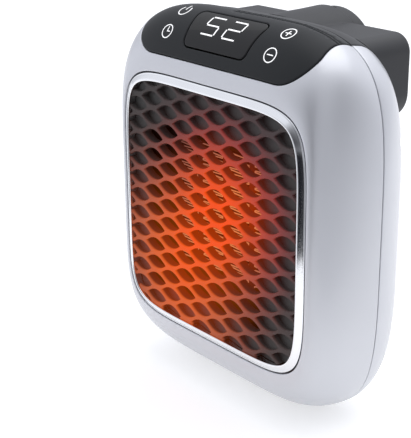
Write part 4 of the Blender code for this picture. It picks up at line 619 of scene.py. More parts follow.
def inside_of(points, outline):
    """Which points lie inside a closed outline."""
    inside = np.zeros(len(points), bool)
    for start, end in zip(outline, np.roll(outline, -1, 0)):
        crossing = (start[1] > points[:, 1]) != (end[1] > points[:, 1])
        rise = end[1] - start[1] if end[1] != start[1] else 1e-12
        reach = start[0] + (points[:, 1] - start[1]) * (end[0] - start[0]) / rise
        inside ^= crossing & (points[:, 0] < reach)
    return inside


print("outline helpers ready")

# %% From a flat map to a walled patch
CREASE = math.radians(38.0)


def smoothed(mesh, material, crease=CREASE):
    """One material, and smooth faces but for the creases."""
    mesh.materials.clear()
    mesh.materials.append(material)
    mesh.polygons.foreach_set("material_index", [0] * len(mesh.polygons))
    mesh.polygons.foreach_set("use_smooth", [True] * len(mesh.polygons))
    mesh.set_sharp_from_angle(angle=crease)


def new_piece(name, vertices, faces, material):
    """A mesh object in the heater's place, with smooth faces."""
    mesh = bpy.data.meshes.new(name)
    mesh.from_pydata([tuple(Vector(point) + MIDDLE) for point in vertices], [], faces)
    mesh.validate()
    smoothed(mesh, material)
    return placed(name, mesh)


def outward(mesh):
    """Turn every face of a closed mesh outwards."""
    shape = bmesh.new()
    shape.from_mesh(mesh)
    bmesh.ops.recalc_face_normals(shape, faces=shape.faces)
    shape.to_mesh(mesh)
    shape.free()


def faces_between(rows, count, wrap=False):
    """Faces from each closed row of points to the next, and with wrap from last to first."""
    faces = []
    for here in range(rows if wrap else rows - 1):
        there = (here + 1) % rows
        for index in range(count):
            after = (index + 1) % count
            faces.append((here * count + index, here * count + after,
                          there * count + after, there * count + index))
    return faces


def solid(name, rows, material):
    """A closed piece through rows of points, with a flat cap at each end."""
    count, last = len(rows[0]), len(rows[0]) * (len(rows) - 1)
    faces = [tuple(range(count)), tuple(range(last, last + count))]
    faces += faces_between(len(rows), count)
    piece = new_piece(name, [point for row in rows for point in row], faces, material)
    outward(piece.data)
    return piece


def hand_over(piece, body, slot, *nodes):
    """Let a finished piece ride on its body and stand for solids."""
    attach(piece, body)
    if nodes:
        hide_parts(*nodes)
    print(piece.name, len(piece.data.polygons), "faces, for", ", ".join(nodes) or "no solid")
    return piece


def facing(surface, flat, turn):
    """Outward normals of a surface at places on its map."""
    nudge = 0.00002
    across = surface(flat + (nudge, 0.0)) - surface(flat - (nudge, 0.0))
    up = surface(flat + (0.0, nudge)) - surface(flat - (0.0, nudge))
    normal = np.cross(across, up) * turn
    return normal / np.linalg.norm(normal, axis=1)[:, None]


# The triangulation works in millimetres, to keep its sums exact enough.
MILLIMETRES, SAME_POINT, LEAST_AREA = 1000.0, 1e-5, 1e-13


def triangles(lines, scatter, keep):
    """Triangles between fixed lines and loose points, where keep allows them."""
    points, edges = [], []
    for line, closed in lines:
        first = len(points)
        points.extend(line)
        edges.extend((first + index, first + index + 1) for index in range(len(line) - 1))
        if closed:
            edges.append((first + len(line) - 1, first))
    points.extend(scatter)
    scaled = [Vector((x * MILLIMETRES, y * MILLIMETRES)) for x, y in points]
    flat, _, faces, *_ = delaunay_2d_cdt(scaled, edges, [], 0, SAME_POINT, False)
    flat = np.array([tuple(point) for point in flat]) / MILLIMETRES
    faces = np.array([tuple(face) for face in faces])
    corners = flat[faces]
    first, second = corners[:, 1] - corners[:, 0], corners[:, 2] - corners[:, 0]
    area = first[:, 0] * second[:, 1] - first[:, 1] * second[:, 0]
    faces = np.where((area < 0.0)[:, None], faces[:, ::-1], faces)
    faces = faces[(np.abs(area) > LEAST_AREA) & keep(corners.mean(1))]
    used, faces = np.unique(faces, return_inverse=True)
    return flat[used], faces.reshape(-1, 3)


def walled(name, surface, turn, flat, faces, sink, wall, material, inner=None):
    """A closed patch: its outer skin sunk at the edges, its inner copy, and its rim."""
    outer, normal = surface(flat), facing(surface, flat, turn)
    inside = outer - normal * wall if inner is None else inner
    sunk = sink(outer, flat)
    skin = outer - normal * sunk[:, None]
    count = len(flat)
    faces = faces if turn > 0.0 else faces[:, ::-1]
    around = np.concatenate([faces[:, [0, 1]], faces[:, [1, 2]], faces[:, [2, 0]]])
    pairs = {tuple(pair) for pair in around.tolist()}
    rim = [pair for pair in pairs if pair[::-1] not in pairs]
    every = [tuple(face) for face in faces.tolist()]
    every += [tuple(corner + count for corner in face[::-1]) for face in faces.tolist()]
    every += [(second, first, first + count, second + count) for first, second in rim]
    piece = new_piece(name, np.concatenate([skin, inside]), every, material)
    shown = np.array([vertex.normal[:] for vertex in piece.data.vertices])
    calm = sunk < 1e-7
    calm[list({corner for pair in rim for corner in pair})] = False
    shown[:count][calm] = normal[calm]
    piece.data.normals_split_custom_set_from_vertices(shown)
    return piece


def lip(distance, size):
    """How deep a rounded lip has sunk at a distance from its edge."""
    left = np.clip(1.0 - distance / size, 0.0, 1.0)
    return size * (1.0 - np.sqrt(1.0 - left * left))


LIP_SHARES, LIP, SEAM_LIP, SEAM_GAP = (0.0, 0.08, 0.25, 0.55, 1.0), 0.0005, 0.0003, 0.00018
EDGE_CLEAR = 0.0010


def lip_rings(line_at, size=LIP, closed=True):
    """Fixed lines at insets from an edge, close together where its lip bends most."""
    return [(line_at(size * share), closed) for share in LIP_SHARES]


def clear_of(points, outlines, gap, closed=True):
    """Which points keep a gap to every outline."""
    return np.all([distance_to(points, outline, closed) > gap for outline in outlines], axis=0)


def turns(count):
    """Even angles round a circle."""
    return np.arange(count) * 2.0 * np.pi / count


def ring(radius, offset, count):
    """A closed line of points round a map, at an offset from a radius."""
    angle = turns(count)
    return from_polar(angle, radius(angle) + offset)


def spread(across, along):
    """Loose points at every crossing of two rows of numbers."""
    return np.stack([side.ravel() for side in np.meshgrid(across, along)], 1)


print("lip rings:", len(LIP_SHARES))

# %% [markdown]
# ## The front shell
#
# The silver front shell runs from the bright frame out to the seam behind it, with a wide
# opening on its top slope for the touch panel. A lathe or an extrusion can't make it,
# because the rounded square changes as it goes back, so it is a patch on the flat map with
# the panel's outline as a fixed line.

# %% The outline of the touch panel, on the top slope
PANEL_HALF, PANEL_BACK_HALF, PANEL_FRONT, PANEL_CORNER = 0.0484, 0.0453, 0.00555, 0.0135
PANEL_KINK, KINK_CORNER, PANEL_GAP, PANEL_STEP = 0.01975, 0.016, 0.00026, 0.0009
SEAM_ALONG = (SEAM + seam_top - FRAME_HALF_HEIGHT) / ROOT
PAST = 0.004


def panel_outline(inset=0.0):
    """The panel's outline as an open line, from past the seam on the left round to the right."""
    lean = (PANEL_HALF - PANEL_BACK_HALF) / (SEAM_ALONG - PANEL_KINK)
    right = [(PANEL_HALF, PANEL_FRONT, PANEL_CORNER), (PANEL_HALF, PANEL_KINK, KINK_CORNER),
             (PANEL_BACK_HALF - lean * PAST, SEAM_ALONG + PAST, 0.0)]
    left = [(-across, along, radius) for across, along, radius in reversed(right)]
    return grown(divided(rounded(left + right), PANEL_STEP, closed=False), -inset, closed=False)


print("seam lies", round(SEAM_ALONG * 1000.0, 2), "mm along the slope")

# %% Front shell
ROUND_COUNT, ROW_COUNT, SHELL_WALL = 288, 24, 0.0022
FLANGE_ROWS = (-FLANGE_DEPTH, -0.0024, -0.0012, -FLANGE_BEND, -0.0004, -0.0002, 0.0, 0.0003,
               0.0008)
INNER_CLEAR, INNER_PULL, INNER_DEPTH, FLANGE_SLANT = 0.0014, 0.004, 0.006, 0.37
opening_line = panel_outline()
opening_flat = front_map(on_slope(opening_line))
opening_closed = np.concatenate([opening_flat, opening_flat[-1:] * 1.3, opening_flat[:1] * 1.3])
lines = lip_rings(lambda inset: front_map(on_slope(grown(opening_line, inset, closed=False))),
                  closed=False)
lines += lip_rings(lambda inset: ring(rim_radius, FRONT_MAP - SEAM_GAP - inset, ROUND_COUNT),
                   SEAM_LIP)
lines += [(ring(rim_radius, row, ROUND_COUNT), True) for row in FLANGE_ROWS]
grid = np.concatenate([
    ring(rim_radius, FLANGE_ROWS[-1] + (FRONT_MAP - 0.0018) * row / ROW_COUNT, ROUND_COUNT)
    for row in range(1, ROW_COUNT + 1)])
near = distance_to(slope_of(on_front(grid)), opening_line, closed=False)
grid = grid[(near > EDGE_CLEAR) & ~inside_of(grid, opening_closed)]


def on_front_shell(flat):
    """Inside the front shell's outline and outside the panel's."""
    angle, radius = to_polar(flat)
    beyond = radius - rim_radius(angle)
    return ((beyond < FRONT_MAP - SEAM_GAP) & (beyond > -FLANGE_DEPTH)
            & ~inside_of(flat, opening_closed))


def front_sink(points, flat):
    """How deep the shell's lips sink: beside the panel and at the seam."""
    beside = lip(distance_to(slope_of(points), opening_line, closed=False), LIP)
    return np.maximum(beside, lip(SEAM - SEAM_GAP - points[:, 1], SEAM_LIP))


def front_inner(flat):
    """The shell's inner skin, which keeps clear of the flange beside the frame."""
    inner = on_front(flat) - facing(on_front, flat, 1.0) * SHELL_WALL
    angle, radius = to_polar(flat)
    past = np.clip(rim_radius(angle) - radius, 0.0, None)
    least = rim_radius(angle) + INNER_CLEAR
    out = np.hypot(inner[:, 0], inner[:, 2])
    tight = (inner[:, 1] < INNER_DEPTH) & (out < least)
    pulled = least + (np.clip(out, least - INNER_PULL, None) - least) * 0.05
    scale = np.where(tight, pulled / out, 1.0)
    scale = np.where(past > 0.0, least * 0.99 / out, scale)
    depth = np.where(past > 0.0, SHELL_WALL + past * FLANGE_SLANT, inner[:, 1])
    return np.stack([inner[:, 0] * scale, np.minimum(depth, SEAM), inner[:, 2] * scale], 1)


flat, faces = triangles(lines, grid, on_front_shell)
front_shell = walled("silver_front_shell", on_front, 1.0, flat, faces, front_sink, SHELL_WALL,
                     SILVER, front_inner(flat))
hand_over(front_shell, "heater", "silver_paint", "front_shell")

# %% [markdown]
# ## The touch panel and its display pane
#
# The panel is charcoal plastic, flush with the shell in its opening. It has a wide hole
# for the glossy display pane, and two thin grooves run across it behind the pane. Both
# pieces lie on the same surface as the shell, with a narrow gap between them.

# %% Touch panel
PANE_FRONT, PANE_BACK = 0.01055, 0.02685
PANE_FRONT_HALF, PANE_BACK_HALF, PANE_CORNER, PANE_GAP = 0.0171, 0.0194, 0.0028, 0.00042
PANEL_WALL, GROOVE_WIDTH, GROOVE_DEPTH = 0.0018, 0.00075, 0.00035
GROOVE_SHARES = (-0.5, -0.42, -0.25, 0.0, 0.25, 0.42, 0.5)


def pane_outline(grow=0.0):
    """The display pane's outline, counterclockwise on the slope."""
    corners = [(-PANE_FRONT_HALF, PANE_FRONT, PANE_CORNER),
               (PANE_FRONT_HALF, PANE_FRONT, PANE_CORNER),
               (PANE_BACK_HALF, PANE_BACK, PANE_CORNER),
               (-PANE_BACK_HALF, PANE_BACK, PANE_CORNER)]
    return grown(divided(rounded(corners, 8), PANEL_STEP), grow)


seam_across = np.linspace(-0.05, 0.05, 161)
seam_rise = REAR_HALF_HEIGHT * (1.0 - (np.abs(seam_across) / HALF_WIDTH) ** BODY_POWER) ** (
    1.0 / BODY_POWER)
seam_line = slope_of(np.stack([seam_across, np.full(161, SEAM), REAR_MIDDLE + seam_rise], 1))


def seam_reach(flat):
    """How far in front of the seam a place on the slope lies."""
    return np.interp(flat[:, 0], seam_line[:, 0], seam_line[:, 1]) - flat[:, 1]


GROOVES = [divided(np.array(line) / MILLIMETRES, 0.0004, closed=False) for line in (
    ((-6.0, 30.6), (10.0, 31.15), (29.0, 31.4), (41.0, 29.9), (46.2, 28.6)),
    ((-6.6, 31.75), (10.0, 32.2), (28.5, 32.3), (41.0, 30.9), (46.2, 29.6)))]
panel_line = panel_outline(PANEL_GAP)
panel_closed = np.concatenate([panel_line, [(0.0, SEAM_ALONG + 0.02)]])
lines = lip_rings(lambda inset: panel_outline(PANEL_GAP + inset), closed=False)
lines += lip_rings(lambda inset: pane_outline(PANE_GAP + inset))
lines += lip_rings(lambda inset: seam_line - (0.0, SEAM_GAP + inset), SEAM_LIP, closed=False)
lines += [(grown(line, GROOVE_WIDTH * share, closed=False), False) for line in GROOVES
          for share in GROOVE_SHARES]
grid = spread(np.linspace(-0.049, 0.049, 86), np.linspace(0.005, 0.036, 28))
grid = grid[clear_of(grid, [panel_line], 0.0009, closed=False)
            & clear_of(grid, [pane_outline()], 0.0011) & (seam_reach(grid) > 0.0008)
            & clear_of(grid, GROOVES, 0.0006, closed=False)]


def on_panel(flat):
    """Inside the panel's outline, in front of the seam and outside the pane."""
    return inside_of(flat, panel_closed) & (seam_reach(flat) > SEAM_GAP) & ~inside_of(
        flat, pane_outline(PANE_GAP))


def panel_sink(points, flat):
    """Rounded lips, and the two grooves."""
    sinks = [lip(distance_to(flat, panel_line, closed=False), LIP),
             lip(distance_to(flat, pane_outline(PANE_GAP)), LIP),
             lip(seam_reach(flat) - SEAM_GAP, SEAM_LIP)]
    for line in GROOVES:
        share = np.clip(2.0 * distance_to(flat, line, closed=False) / GROOVE_WIDTH, 0.0, 1.0)
        sinks.append(GROOVE_DEPTH * np.sqrt(1.0 - share * share))
    return np.maximum.reduce(sinks)


panel = walled("touch_panel_skin", on_slope, 1.0, *triangles(lines, grid, on_panel), panel_sink,
               PANEL_WALL, PANEL)
hand_over(panel, "heater", "panel_charcoal", "touch_panel")

# %% Display pane
# Painted reflection: the pane is lighter above a slanted line across it, where a reflection is
# painted in, and darker below.
REFLECTION_LINE_ENDS, REFLECTION_LINE_BLUR, PANE_WALL = [(-0.0187, 0.0165), (0.0134, 0.0223)], 0.0002, 0.0012
reflection_line_low, reflection_line_high = on_slope(np.array(REFLECTION_LINE_ENDS))
reflection_line_tilt = float((reflection_line_high[2] - reflection_line_low[2]) / (reflection_line_high[0] - reflection_line_low[0]))
reflection_line_level = float(reflection_line_low[2] - reflection_line_tilt * reflection_line_low[0])
pane = Finish("display_pane")
tint = pane.noise(90.0)
# The painted reflection's share: 1 above the slanted line, 0 below, soft across it.
painted_reflection = pane.step_up(pane.z - pane.x * reflection_line_tilt, reflection_line_level - REFLECTION_LINE_BLUR,
                     reflection_line_level + REFLECTION_LINE_BLUR)
PANE = pane.done(base_color=pane.blend(painted_reflection, (0.017, 0.017, 0.018), (0.029, 0.029, 0.028)),
                 roughness=pane.between(tint, 0.26, 0.34), specular_ior_level=0.25)
grid = spread(np.linspace(-0.02, 0.02, 37), np.linspace(0.010, 0.027, 17))
grid = grid[inside_of(grid, pane_outline(-EDGE_CLEAR))]
display_pane = walled(
    "display_pane", on_slope, 1.0,
    *triangles(lip_rings(lambda inset: pane_outline(-inset)), grid,
               lambda flat: inside_of(flat, pane_outline())),
    lambda points, flat: lip(distance_to(flat, pane_outline()), LIP), PANE_WALL, PANE)
hand_over(display_pane, "heater", "gloss_window", "display_window")

# %% [markdown]
# ## The back
#
# The rear shell is silver too. It starts at the seam and turns in to a flat back, where a
# charcoal cover with air slots fills a wide opening, and four wells lead to the case's
# screws. Each slot and well is a fixed line in the triangulation, so its rim is crisp and
# the skin between them stays smooth. One function makes both pieces.

# %% Outlines of the rear cover, the screw wells and the slots
COVER_HALF, COVER_LOW, COVER_HIGH, COVER_CORNER = 0.0453, -0.049, 0.080, 0.0135
COVER_GAP, COVER_STEP = 0.00026, 0.0010
WELLS = [(side * 0.0555, level * 0.035) for side in (-1, 1) for level in (-1, 1)]
WELL_RADIUS, WELL_FLOOR = 0.003, 0.033
SLOT_HALF, SLOT_PITCH, SLOT_HIGHEST = 0.0016, 0.0062, 0.0303
INLET_RADIUS, RIB_HALF = 0.0345, 0.0015


def cover_outline(inset=0.0):
    """The cover's outline seen from behind, from past the seam round below and up again."""
    corners = [(-COVER_HALF, COVER_HIGH, 0.0), (-COVER_HALF, COVER_LOW, COVER_CORNER),
               (COVER_HALF, COVER_LOW, COVER_CORNER), (COVER_HALF, COVER_HIGH, 0.0)]
    return grown(divided(rounded(corners), COVER_STEP, closed=False), -inset, closed=False)


def disc(centre, radius, count=28):
    """A circle seen from behind."""
    return np.array(centre) + from_polar(turns(count), radius)


def slot_outline(left, right, level):
    """A round-ended slot seen from behind."""
    corners = [(left, level - SLOT_HALF), (right, level - SLOT_HALF),
               (right, level + SLOT_HALF), (left, level + SLOT_HALF)]
    return divided(rounded([(*corner, SLOT_HALF * 0.98) for corner in corners], 7), 0.0012)


slots = []
for row in range(-5, 6):
    level = row * SLOT_PITCH
    reach = math.sqrt(max(INLET_RADIUS ** 2 - level ** 2, 0.0))
    if level <= SLOT_HIGHEST and reach - RIB_HALF > SLOT_PITCH:
        slots += [slot_outline(RIB_HALF, reach, level), slot_outline(-reach, -RIB_HALF, level)]
wells = [disc(place, WELL_RADIUS) for place in WELLS]
print("slots:", len(slots), "wells:", len(wells))

# %% Rear shell and rear cover
EDGE_ROWS, BACK_ROWS = 22, 14
rear_grid = [ring(back_radius, REAR_MAP * row / EDGE_ROWS, ROUND_COUNT)
             for row in range(1, EDGE_ROWS)]
rear_grid += [ring(lambda angle, part=row / BACK_ROWS: back_radius(angle) * part, 0.0,
                   max(8, int(ROUND_COUNT * row / BACK_ROWS))) for row in range(1, BACK_ROWS)]
rear_grid = np.concatenate(rear_grid)
grid_points = on_rear(rear_grid)
grid_seen = grid_points[:, [0, 2]]
rear_lines = lip_rings(lambda inset: ring(back_radius, REAR_MAP - SEAM_GAP - inset, ROUND_COUNT),
                       SEAM_LIP)
rear_lines.append((ring(back_radius, 0.0, ROUND_COUNT), True))


def rear_patch(name, outline, inside, holes, clear, material):
    """A piece of the back inside or outside an outline, with holes; clear gives two gaps."""
    way, hole_maps = -1.0 if inside else 1.0, [rear_map(hole) for hole in holes]
    lines = lip_rings(lambda inset: rear_map(grown(outline, inset * way, False)), closed=False)
    lines += rear_lines
    for hole in holes:
        lines += lip_rings(lambda inset: rear_map(grown(hole, inset)))

    def keep(flat):
        angle, radius = to_polar(flat)
        in_hole = np.any([inside_of(flat, hole) for hole in hole_maps], axis=0)
        return ((radius - back_radius(angle) < REAR_MAP - SEAM_GAP) & ~in_hole
                & (inside_of(on_rear(flat)[:, [0, 2]], outline) == inside))

    def sink(points, flat):
        seen = points[:, [0, 2]]
        return np.maximum.reduce([
            lip(distance_to(seen, outline, closed=False), LIP),
            lip(points[:, 1] - SEAM - SEAM_GAP, SEAM_LIP),
            *(lip(distance_to(seen, hole), LIP) for hole in holes)])

    loose = rear_grid[clear_of(grid_seen, [cover_outline()], clear[0], closed=False)
                      & (inside_of(grid_seen, outline) == inside)
                      & clear_of(grid_seen, holes, clear[1])
                      & (grid_points[:, 1] - SEAM > EDGE_CLEAR)
                      & ~np.any([inside_of(grid_seen, hole) for hole in holes], axis=0)]
    return walled(name, on_rear, -1.0, *triangles(lines, loose, keep), sink, SHELL_WALL, material)


rear_shell = rear_patch("silver_rear_shell", cover_outline(), False, wells,
                        (EDGE_CLEAR, EDGE_CLEAR), SILVER)
hand_over(rear_shell, "heater", "silver_paint", "rear_shell")
rear_cover = rear_patch("charcoal_rear_cover", cover_outline(COVER_GAP), True, slots,
                        (0.0012, 0.0009), BACK_DARK)
hand_over(rear_cover, "heater", "rear_charcoal", "rear_cover")

# %% [markdown]
# ## The bright frame and the eye-patterned grille
#
# A plated band frames the front. Its profile is swept round the rounded square, as a strip
# of moulding would be. The grille behind it repeats one cell, an eye-shaped hole with a
# chamfered rim, on a lattice whose every other column is shifted by half a cell. Cells in
# front of the fins are open, and those around them are closed by sloping floors, which
# catch the light like louvres.

# %% Bright frame
BAND, BAND_DEPTH, OUTER_ROUND, INNER_ROUND = 0.0032, 0.0046, 0.0004, 0.0005
BAND_CROWN, SLOPE_END, CREST_REST = 0.00002, 0.0021, 0.15
CREST_START = FRAME_RISE * (1.0 - CREST_REST)
ROUND_STEPS, SLOPE_STEPS, CREST_STEPS = 5, 6, 7


def rounded_square(grow, count=240):
    """The front frame's outline, counterclockwise, moved outwards."""
    across, up = np.cos(turns(count)), np.sin(turns(count))
    power = 2.0 / FRONT_POWER
    line = np.stack([FRAME_HALF_WIDTH * np.sign(across) * np.abs(across) ** power,
                     FRAME_HALF_HEIGHT * np.sign(up) * np.abs(up) ** power], 1)
    total = np.concatenate([[0.0], np.cumsum(np.hypot(*(np.roll(line, -1, 0) - line).T))])
    place = np.linspace(0.0, total[-1], count, endpoint=False)
    closed = np.concatenate([line, line[:1]])
    even = np.stack([np.interp(place, total, closed[:, axis]) for axis in (0, 1)], 1)
    return grown(even, grow)


def band_profile():
    """The band's section as (inset, depth): an outer round, a slope, a crest and an inner round."""
    points = [(0.0, BAND_DEPTH)]
    for step in range(ROUND_STEPS + 1):
        turn = step / ROUND_STEPS * math.pi / 2.0
        points.append((OUTER_ROUND * (1.0 - math.cos(turn)), OUTER_ROUND * (1.0 - math.sin(turn))))
    for step in range(1, SLOPE_STEPS + 1):
        share = step / SLOPE_STEPS
        points.append((OUTER_ROUND + (SLOPE_END - OUTER_ROUND) * share,
                       -CREST_START * share - BAND_CROWN * 4.0 * share * (1.0 - share)))
    for step in range(1, CREST_STEPS + 1):
        share = step / CREST_STEPS
        points.append((SLOPE_END + (BAND - INNER_ROUND - SLOPE_END) * share,
                       -CREST_START - (FRAME_RISE - CREST_START) * share * (2.0 - share)))
    for step in range(1, ROUND_STEPS + 1):
        turn = step / ROUND_STEPS * math.pi / 2.0
        points.append((BAND - INNER_ROUND * (1.0 - math.sin(turn)),
                       -FRAME_RISE + INNER_ROUND * (1.0 - math.cos(turn))))
    return points + [(BAND, BAND_DEPTH)]


profile = [(-inset, max(depth, -FRAME_RISE)) for inset, depth in band_profile()]
vertices = [(x, depth, z) for grow, depth in profile for x, z in rounded_square(grow)]
faces = faces_between(len(profile), len(rounded_square(0.0)), wrap=True)
bright_frame = new_piece("bright_frame", vertices, faces, BRIGHT)
outward(bright_frame.data)
bright_frame.data.set_sharp_from_angle(angle=CREASE)
hand_over(bright_frame, "heater", "bright_frame", "grille_frame")

# %% One cell of the grille
PITCH_ACROSS, PITCH_UP = 0.00964, 0.00762
CELL_TIP, CELL_SHOULDER = PITCH_ACROSS * 0.75, PITCH_ACROSS * 0.25
GRILLE_BACK = GRILLE_FRONT + 0.0042
EYE_LONG, EYE_HIGH, EYE_BEND, EYE_COUNT = 0.0067, 0.0030, 2.0, 24
CHAMFER, CHAMFER_DEPTH, SOFT_SHARE, SOFT_DEPTH = 0.00028, 0.0004, 0.3, 0.0001
FLOOR_LEFT, FLOOR_RIGHT = 0.0028, 0.0003


def eye(inset):
    """An eye-shaped outline, counterclockwise from the right tip."""
    turn = turns(EYE_COUNT)
    across = (EYE_LONG - inset) * np.cos(turn)
    up = (EYE_HIGH - inset) * (1.0 - np.abs(np.cos(turn)) ** EYE_BEND) * np.sign(
        np.sin(turn) + 1e-12)
    return np.stack([across, np.where(np.abs(np.sin(turn)) < 1e-9, 0.0, up)], 1)


def hexagon():
    """The outline of one tile of the lattice, with as many points as the eye."""
    corners = np.array([(CELL_TIP, 0.0), (CELL_SHOULDER, PITCH_UP / 2.0),
                        (-CELL_SHOULDER, PITCH_UP / 2.0), (-CELL_TIP, 0.0),
                        (-CELL_SHOULDER, -PITCH_UP / 2.0), (CELL_SHOULDER, -PITCH_UP / 2.0)])
    shares = np.linspace(0.0, 1.0, EYE_COUNT // 6 + 1)[:-1, None]
    return np.concatenate([corner + (after - corner) * shares
                           for corner, after in zip(corners, np.roll(corners, -1, 0))])


def cell(name, is_open):
    """A six-sided tile with an eye-shaped hole, which a sloping floor closes unless it's open."""
    rows = [[(x, y, z) for x, z in line] for line, y in (
        (hexagon(), GRILLE_FRONT), (eye(0.0), GRILLE_FRONT),
        (eye(CHAMFER * SOFT_SHARE), GRILLE_FRONT + SOFT_DEPTH),
        (eye(CHAMFER), GRILLE_FRONT + CHAMFER_DEPTH), (eye(CHAMFER), GRILLE_BACK),
        (hexagon(), GRILLE_BACK))]
    if is_open:
        faces = faces_between(6, EYE_COUNT)
    else:
        rows[4] = []
        for x, z in eye(CHAMFER):
            share = (x / EYE_LONG + 1.0) / 2.0
            depth = CHAMFER_DEPTH + FLOOR_LEFT + (FLOOR_RIGHT - FLOOR_LEFT) * share
            rows[4].append((x, GRILLE_FRONT + depth, z))
        faces = faces_between(5, EYE_COUNT)
        faces.append(tuple(range(4 * EYE_COUNT, 5 * EYE_COUNT)))
        faces.append(tuple(range(6 * EYE_COUNT - 1, 5 * EYE_COUNT - 1, -1)))
    mesh = bpy.data.meshes.new(name)
    mesh.from_pydata([point for row in rows for point in row], [], faces)
    return placed(name, mesh)


open_cell, blind_cell = cell("open_cell", True), cell("blind_cell", False)
print("faces in a cell:", len(open_cell.data.polygons), len(blind_cell.data.polygons))

# %% [markdown]
# ## A lattice by Geometry Nodes
#
# The grille's cells and the fins' folds repeat on a grid, so one small tree makes both. It
# lays points on a grid that faces the front, keeps those inside or outside a window, and
# puts a copy of a given shape on each. The copies are made real at the end of the tree,
# since an exported mesh holds no instances.

# %% The lattice tree


def node_group(name, inputs):
    """A new geometry tree with named inputs, as (name, socket kind)."""
    tree = bpy.data.node_groups.new(name, "GeometryNodeTree")
    for label, kind in inputs:
        tree.interface.new_socket(label, in_out="INPUT", socket_type="NodeSocket" + kind)
    tree.interface.new_socket("Geometry", in_out="OUTPUT", socket_type="NodeSocketGeometry")
    graph = Graph(tree)
    given = graph.add("NodeGroupInput")
    return graph, {label: Field(graph, given.outputs[label]) for label, _ in inputs}


def repeated(graph, given, sockets):
    """A tree's last nodes: a copy of the shape on each point, made real and painted."""
    shape = graph.add("GeometryNodeObjectInfo", None, {"Object": given["Shape"]})
    copies = graph.field("GeometryNodeInstanceOnPoints", None, {
        "Instance": Field(graph, shape.outputs["Geometry"]), **sockets})
    real = graph.field("GeometryNodeRealizeInstances", None, {"Geometry": copies})
    painted = graph.field("GeometryNodeSetMaterial", None, {
        "Geometry": real, "Material": given["Material"]})
    graph.add("NodeGroupOutput", None, {"Geometry": painted})
    return graph.tree


def lattice_tree():
    """The tree that repeats a shape over a grid."""
    graph, given = node_group("lattice", (
        ("Shape", "Object"), ("Across", "Int"), ("Up", "Int"), ("Width", "Float"),
        ("Height", "Float"), ("Middle", "Vector"), ("Window middle", "Vector"),
        ("Window half width", "Float"), ("Window half height", "Float"), ("Inside", "Bool"),
        ("Material", "Material")))
    grid = graph.field("GeometryNodeMeshGrid", None, {
        "Size X": given["Width"], "Size Y": given["Height"],
        "Vertices X": given["Across"], "Vertices Y": given["Up"]})
    upright = graph.field("GeometryNodeTransform", None, {
        "Geometry": grid, "Rotation": (math.pi / 2.0, 0.0, 0.0), "Translation": given["Middle"]})
    place = graph.field("ShaderNodeVectorMath", {"operation": "SUBTRACT"}, {
        0: graph.field("GeometryNodeInputPosition"), 1: given["Window middle"]})
    parts = graph.add("ShaderNodeSeparateXYZ", None, {0: place})
    near = [graph.field("FunctionNodeCompare", {"operation": "LESS_THAN"}, {
        "A": graph.maths("ABSOLUTE", Field(graph, parts.outputs[axis])), "B": given[limit]})
        for axis, limit in ((0, "Window half width"), (2, "Window half height"))]
    within = graph.field("FunctionNodeBooleanMath", {"operation": "AND"}, {0: near[0], 1: near[1]})
    chosen = graph.field("FunctionNodeBooleanMath", {"operation": "XNOR"}, {
        0: within, 1: given["Inside"]})
    return repeated(graph, given, {"Points": upright, "Selection": chosen})


LATTICE = lattice_tree()


def evaluated(piece):
    """A new mesh of a piece as its modifiers shape it."""
    bpy.context.view_layer.update()
    graph = bpy.context.evaluated_depsgraph_get()
    return bpy.data.meshes.new_from_object(piece.evaluated_get(graph))


def by_nodes(name, tree, values):
    """A plain mesh made by a geometry tree with the given inputs, in the heater's place."""
    holder = placed(name + "_nodes", bpy.data.meshes.new(name + "_nodes"))
    modifier = holder.modifiers.new("nodes", "NODES")
    modifier.node_group = tree
    labels = {item.name: item.identifier for item in tree.interface.items_tree
              if item.in_out == "INPUT"}
    for label, value in values.items():
        modifier[labels[label]] = value
    mesh = evaluated(holder)
    bpy.data.objects.remove(holder)
    mesh.transform(Matrix.Translation(MIDDLE))
    return mesh


print("lattice tree:", len(LATTICE.nodes), "nodes")

# %% Front grille
RIM_INSET = BAND + 0.0003
COLUMNS, ROWS, CELL_RISE, CELL_ROW_SHARE = 7, 16, 0.0006, 0.25
WINDOW_MIDDLE, WINDOW_HALF = (-0.0048, 0.0, -0.0022), (0.0338, 0.0340)
SAME_PLACE, SAME_LEVEL, GRILLE_CREASE = 0.00001, 0.000001, math.radians(25.0)


def cells(shape, inside):
    """Meshes of one kind of cell: in two sets of columns, half a cell apart."""
    made = []
    for side in (-1.0, 1.0):
        middle = (side * PITCH_ACROSS / 2.0, 0.0, CELL_RISE - side * CELL_ROW_SHARE * PITCH_UP)
        made.append(by_nodes("cells", LATTICE, {
            "Shape": shape, "Across": COLUMNS, "Up": ROWS,
            "Width": (COLUMNS - 1) * 2.0 * PITCH_ACROSS, "Height": (ROWS - 1) * PITCH_UP,
            "Middle": middle, "Window middle": WINDOW_MIDDLE,
            "Window half width": WINDOW_HALF[0], "Window half height": WINDOW_HALF[1],
            "Inside": inside, "Material": GRILLE}))
    return made


def at_depth(vertex, depth):
    """Whether a vertex of the lattice lies at a depth."""
    return abs(vertex.co.y - MIDDLE.y - depth) < SAME_LEVEL


lattice = bmesh.new()
for mesh in cells(open_cell, True) + cells(blind_cell, False):
    lattice.from_mesh(mesh)
bmesh.ops.remove_doubles(lattice, verts=lattice.verts, dist=SAME_PLACE)
deep_vertices = [vertex for vertex in lattice.verts if at_depth(vertex, GRILLE_BACK)]
nearest = KDTree(len(deep_vertices))
for index, vertex in enumerate(deep_vertices):
    nearest.insert(vertex.co, index)
nearest.balance()
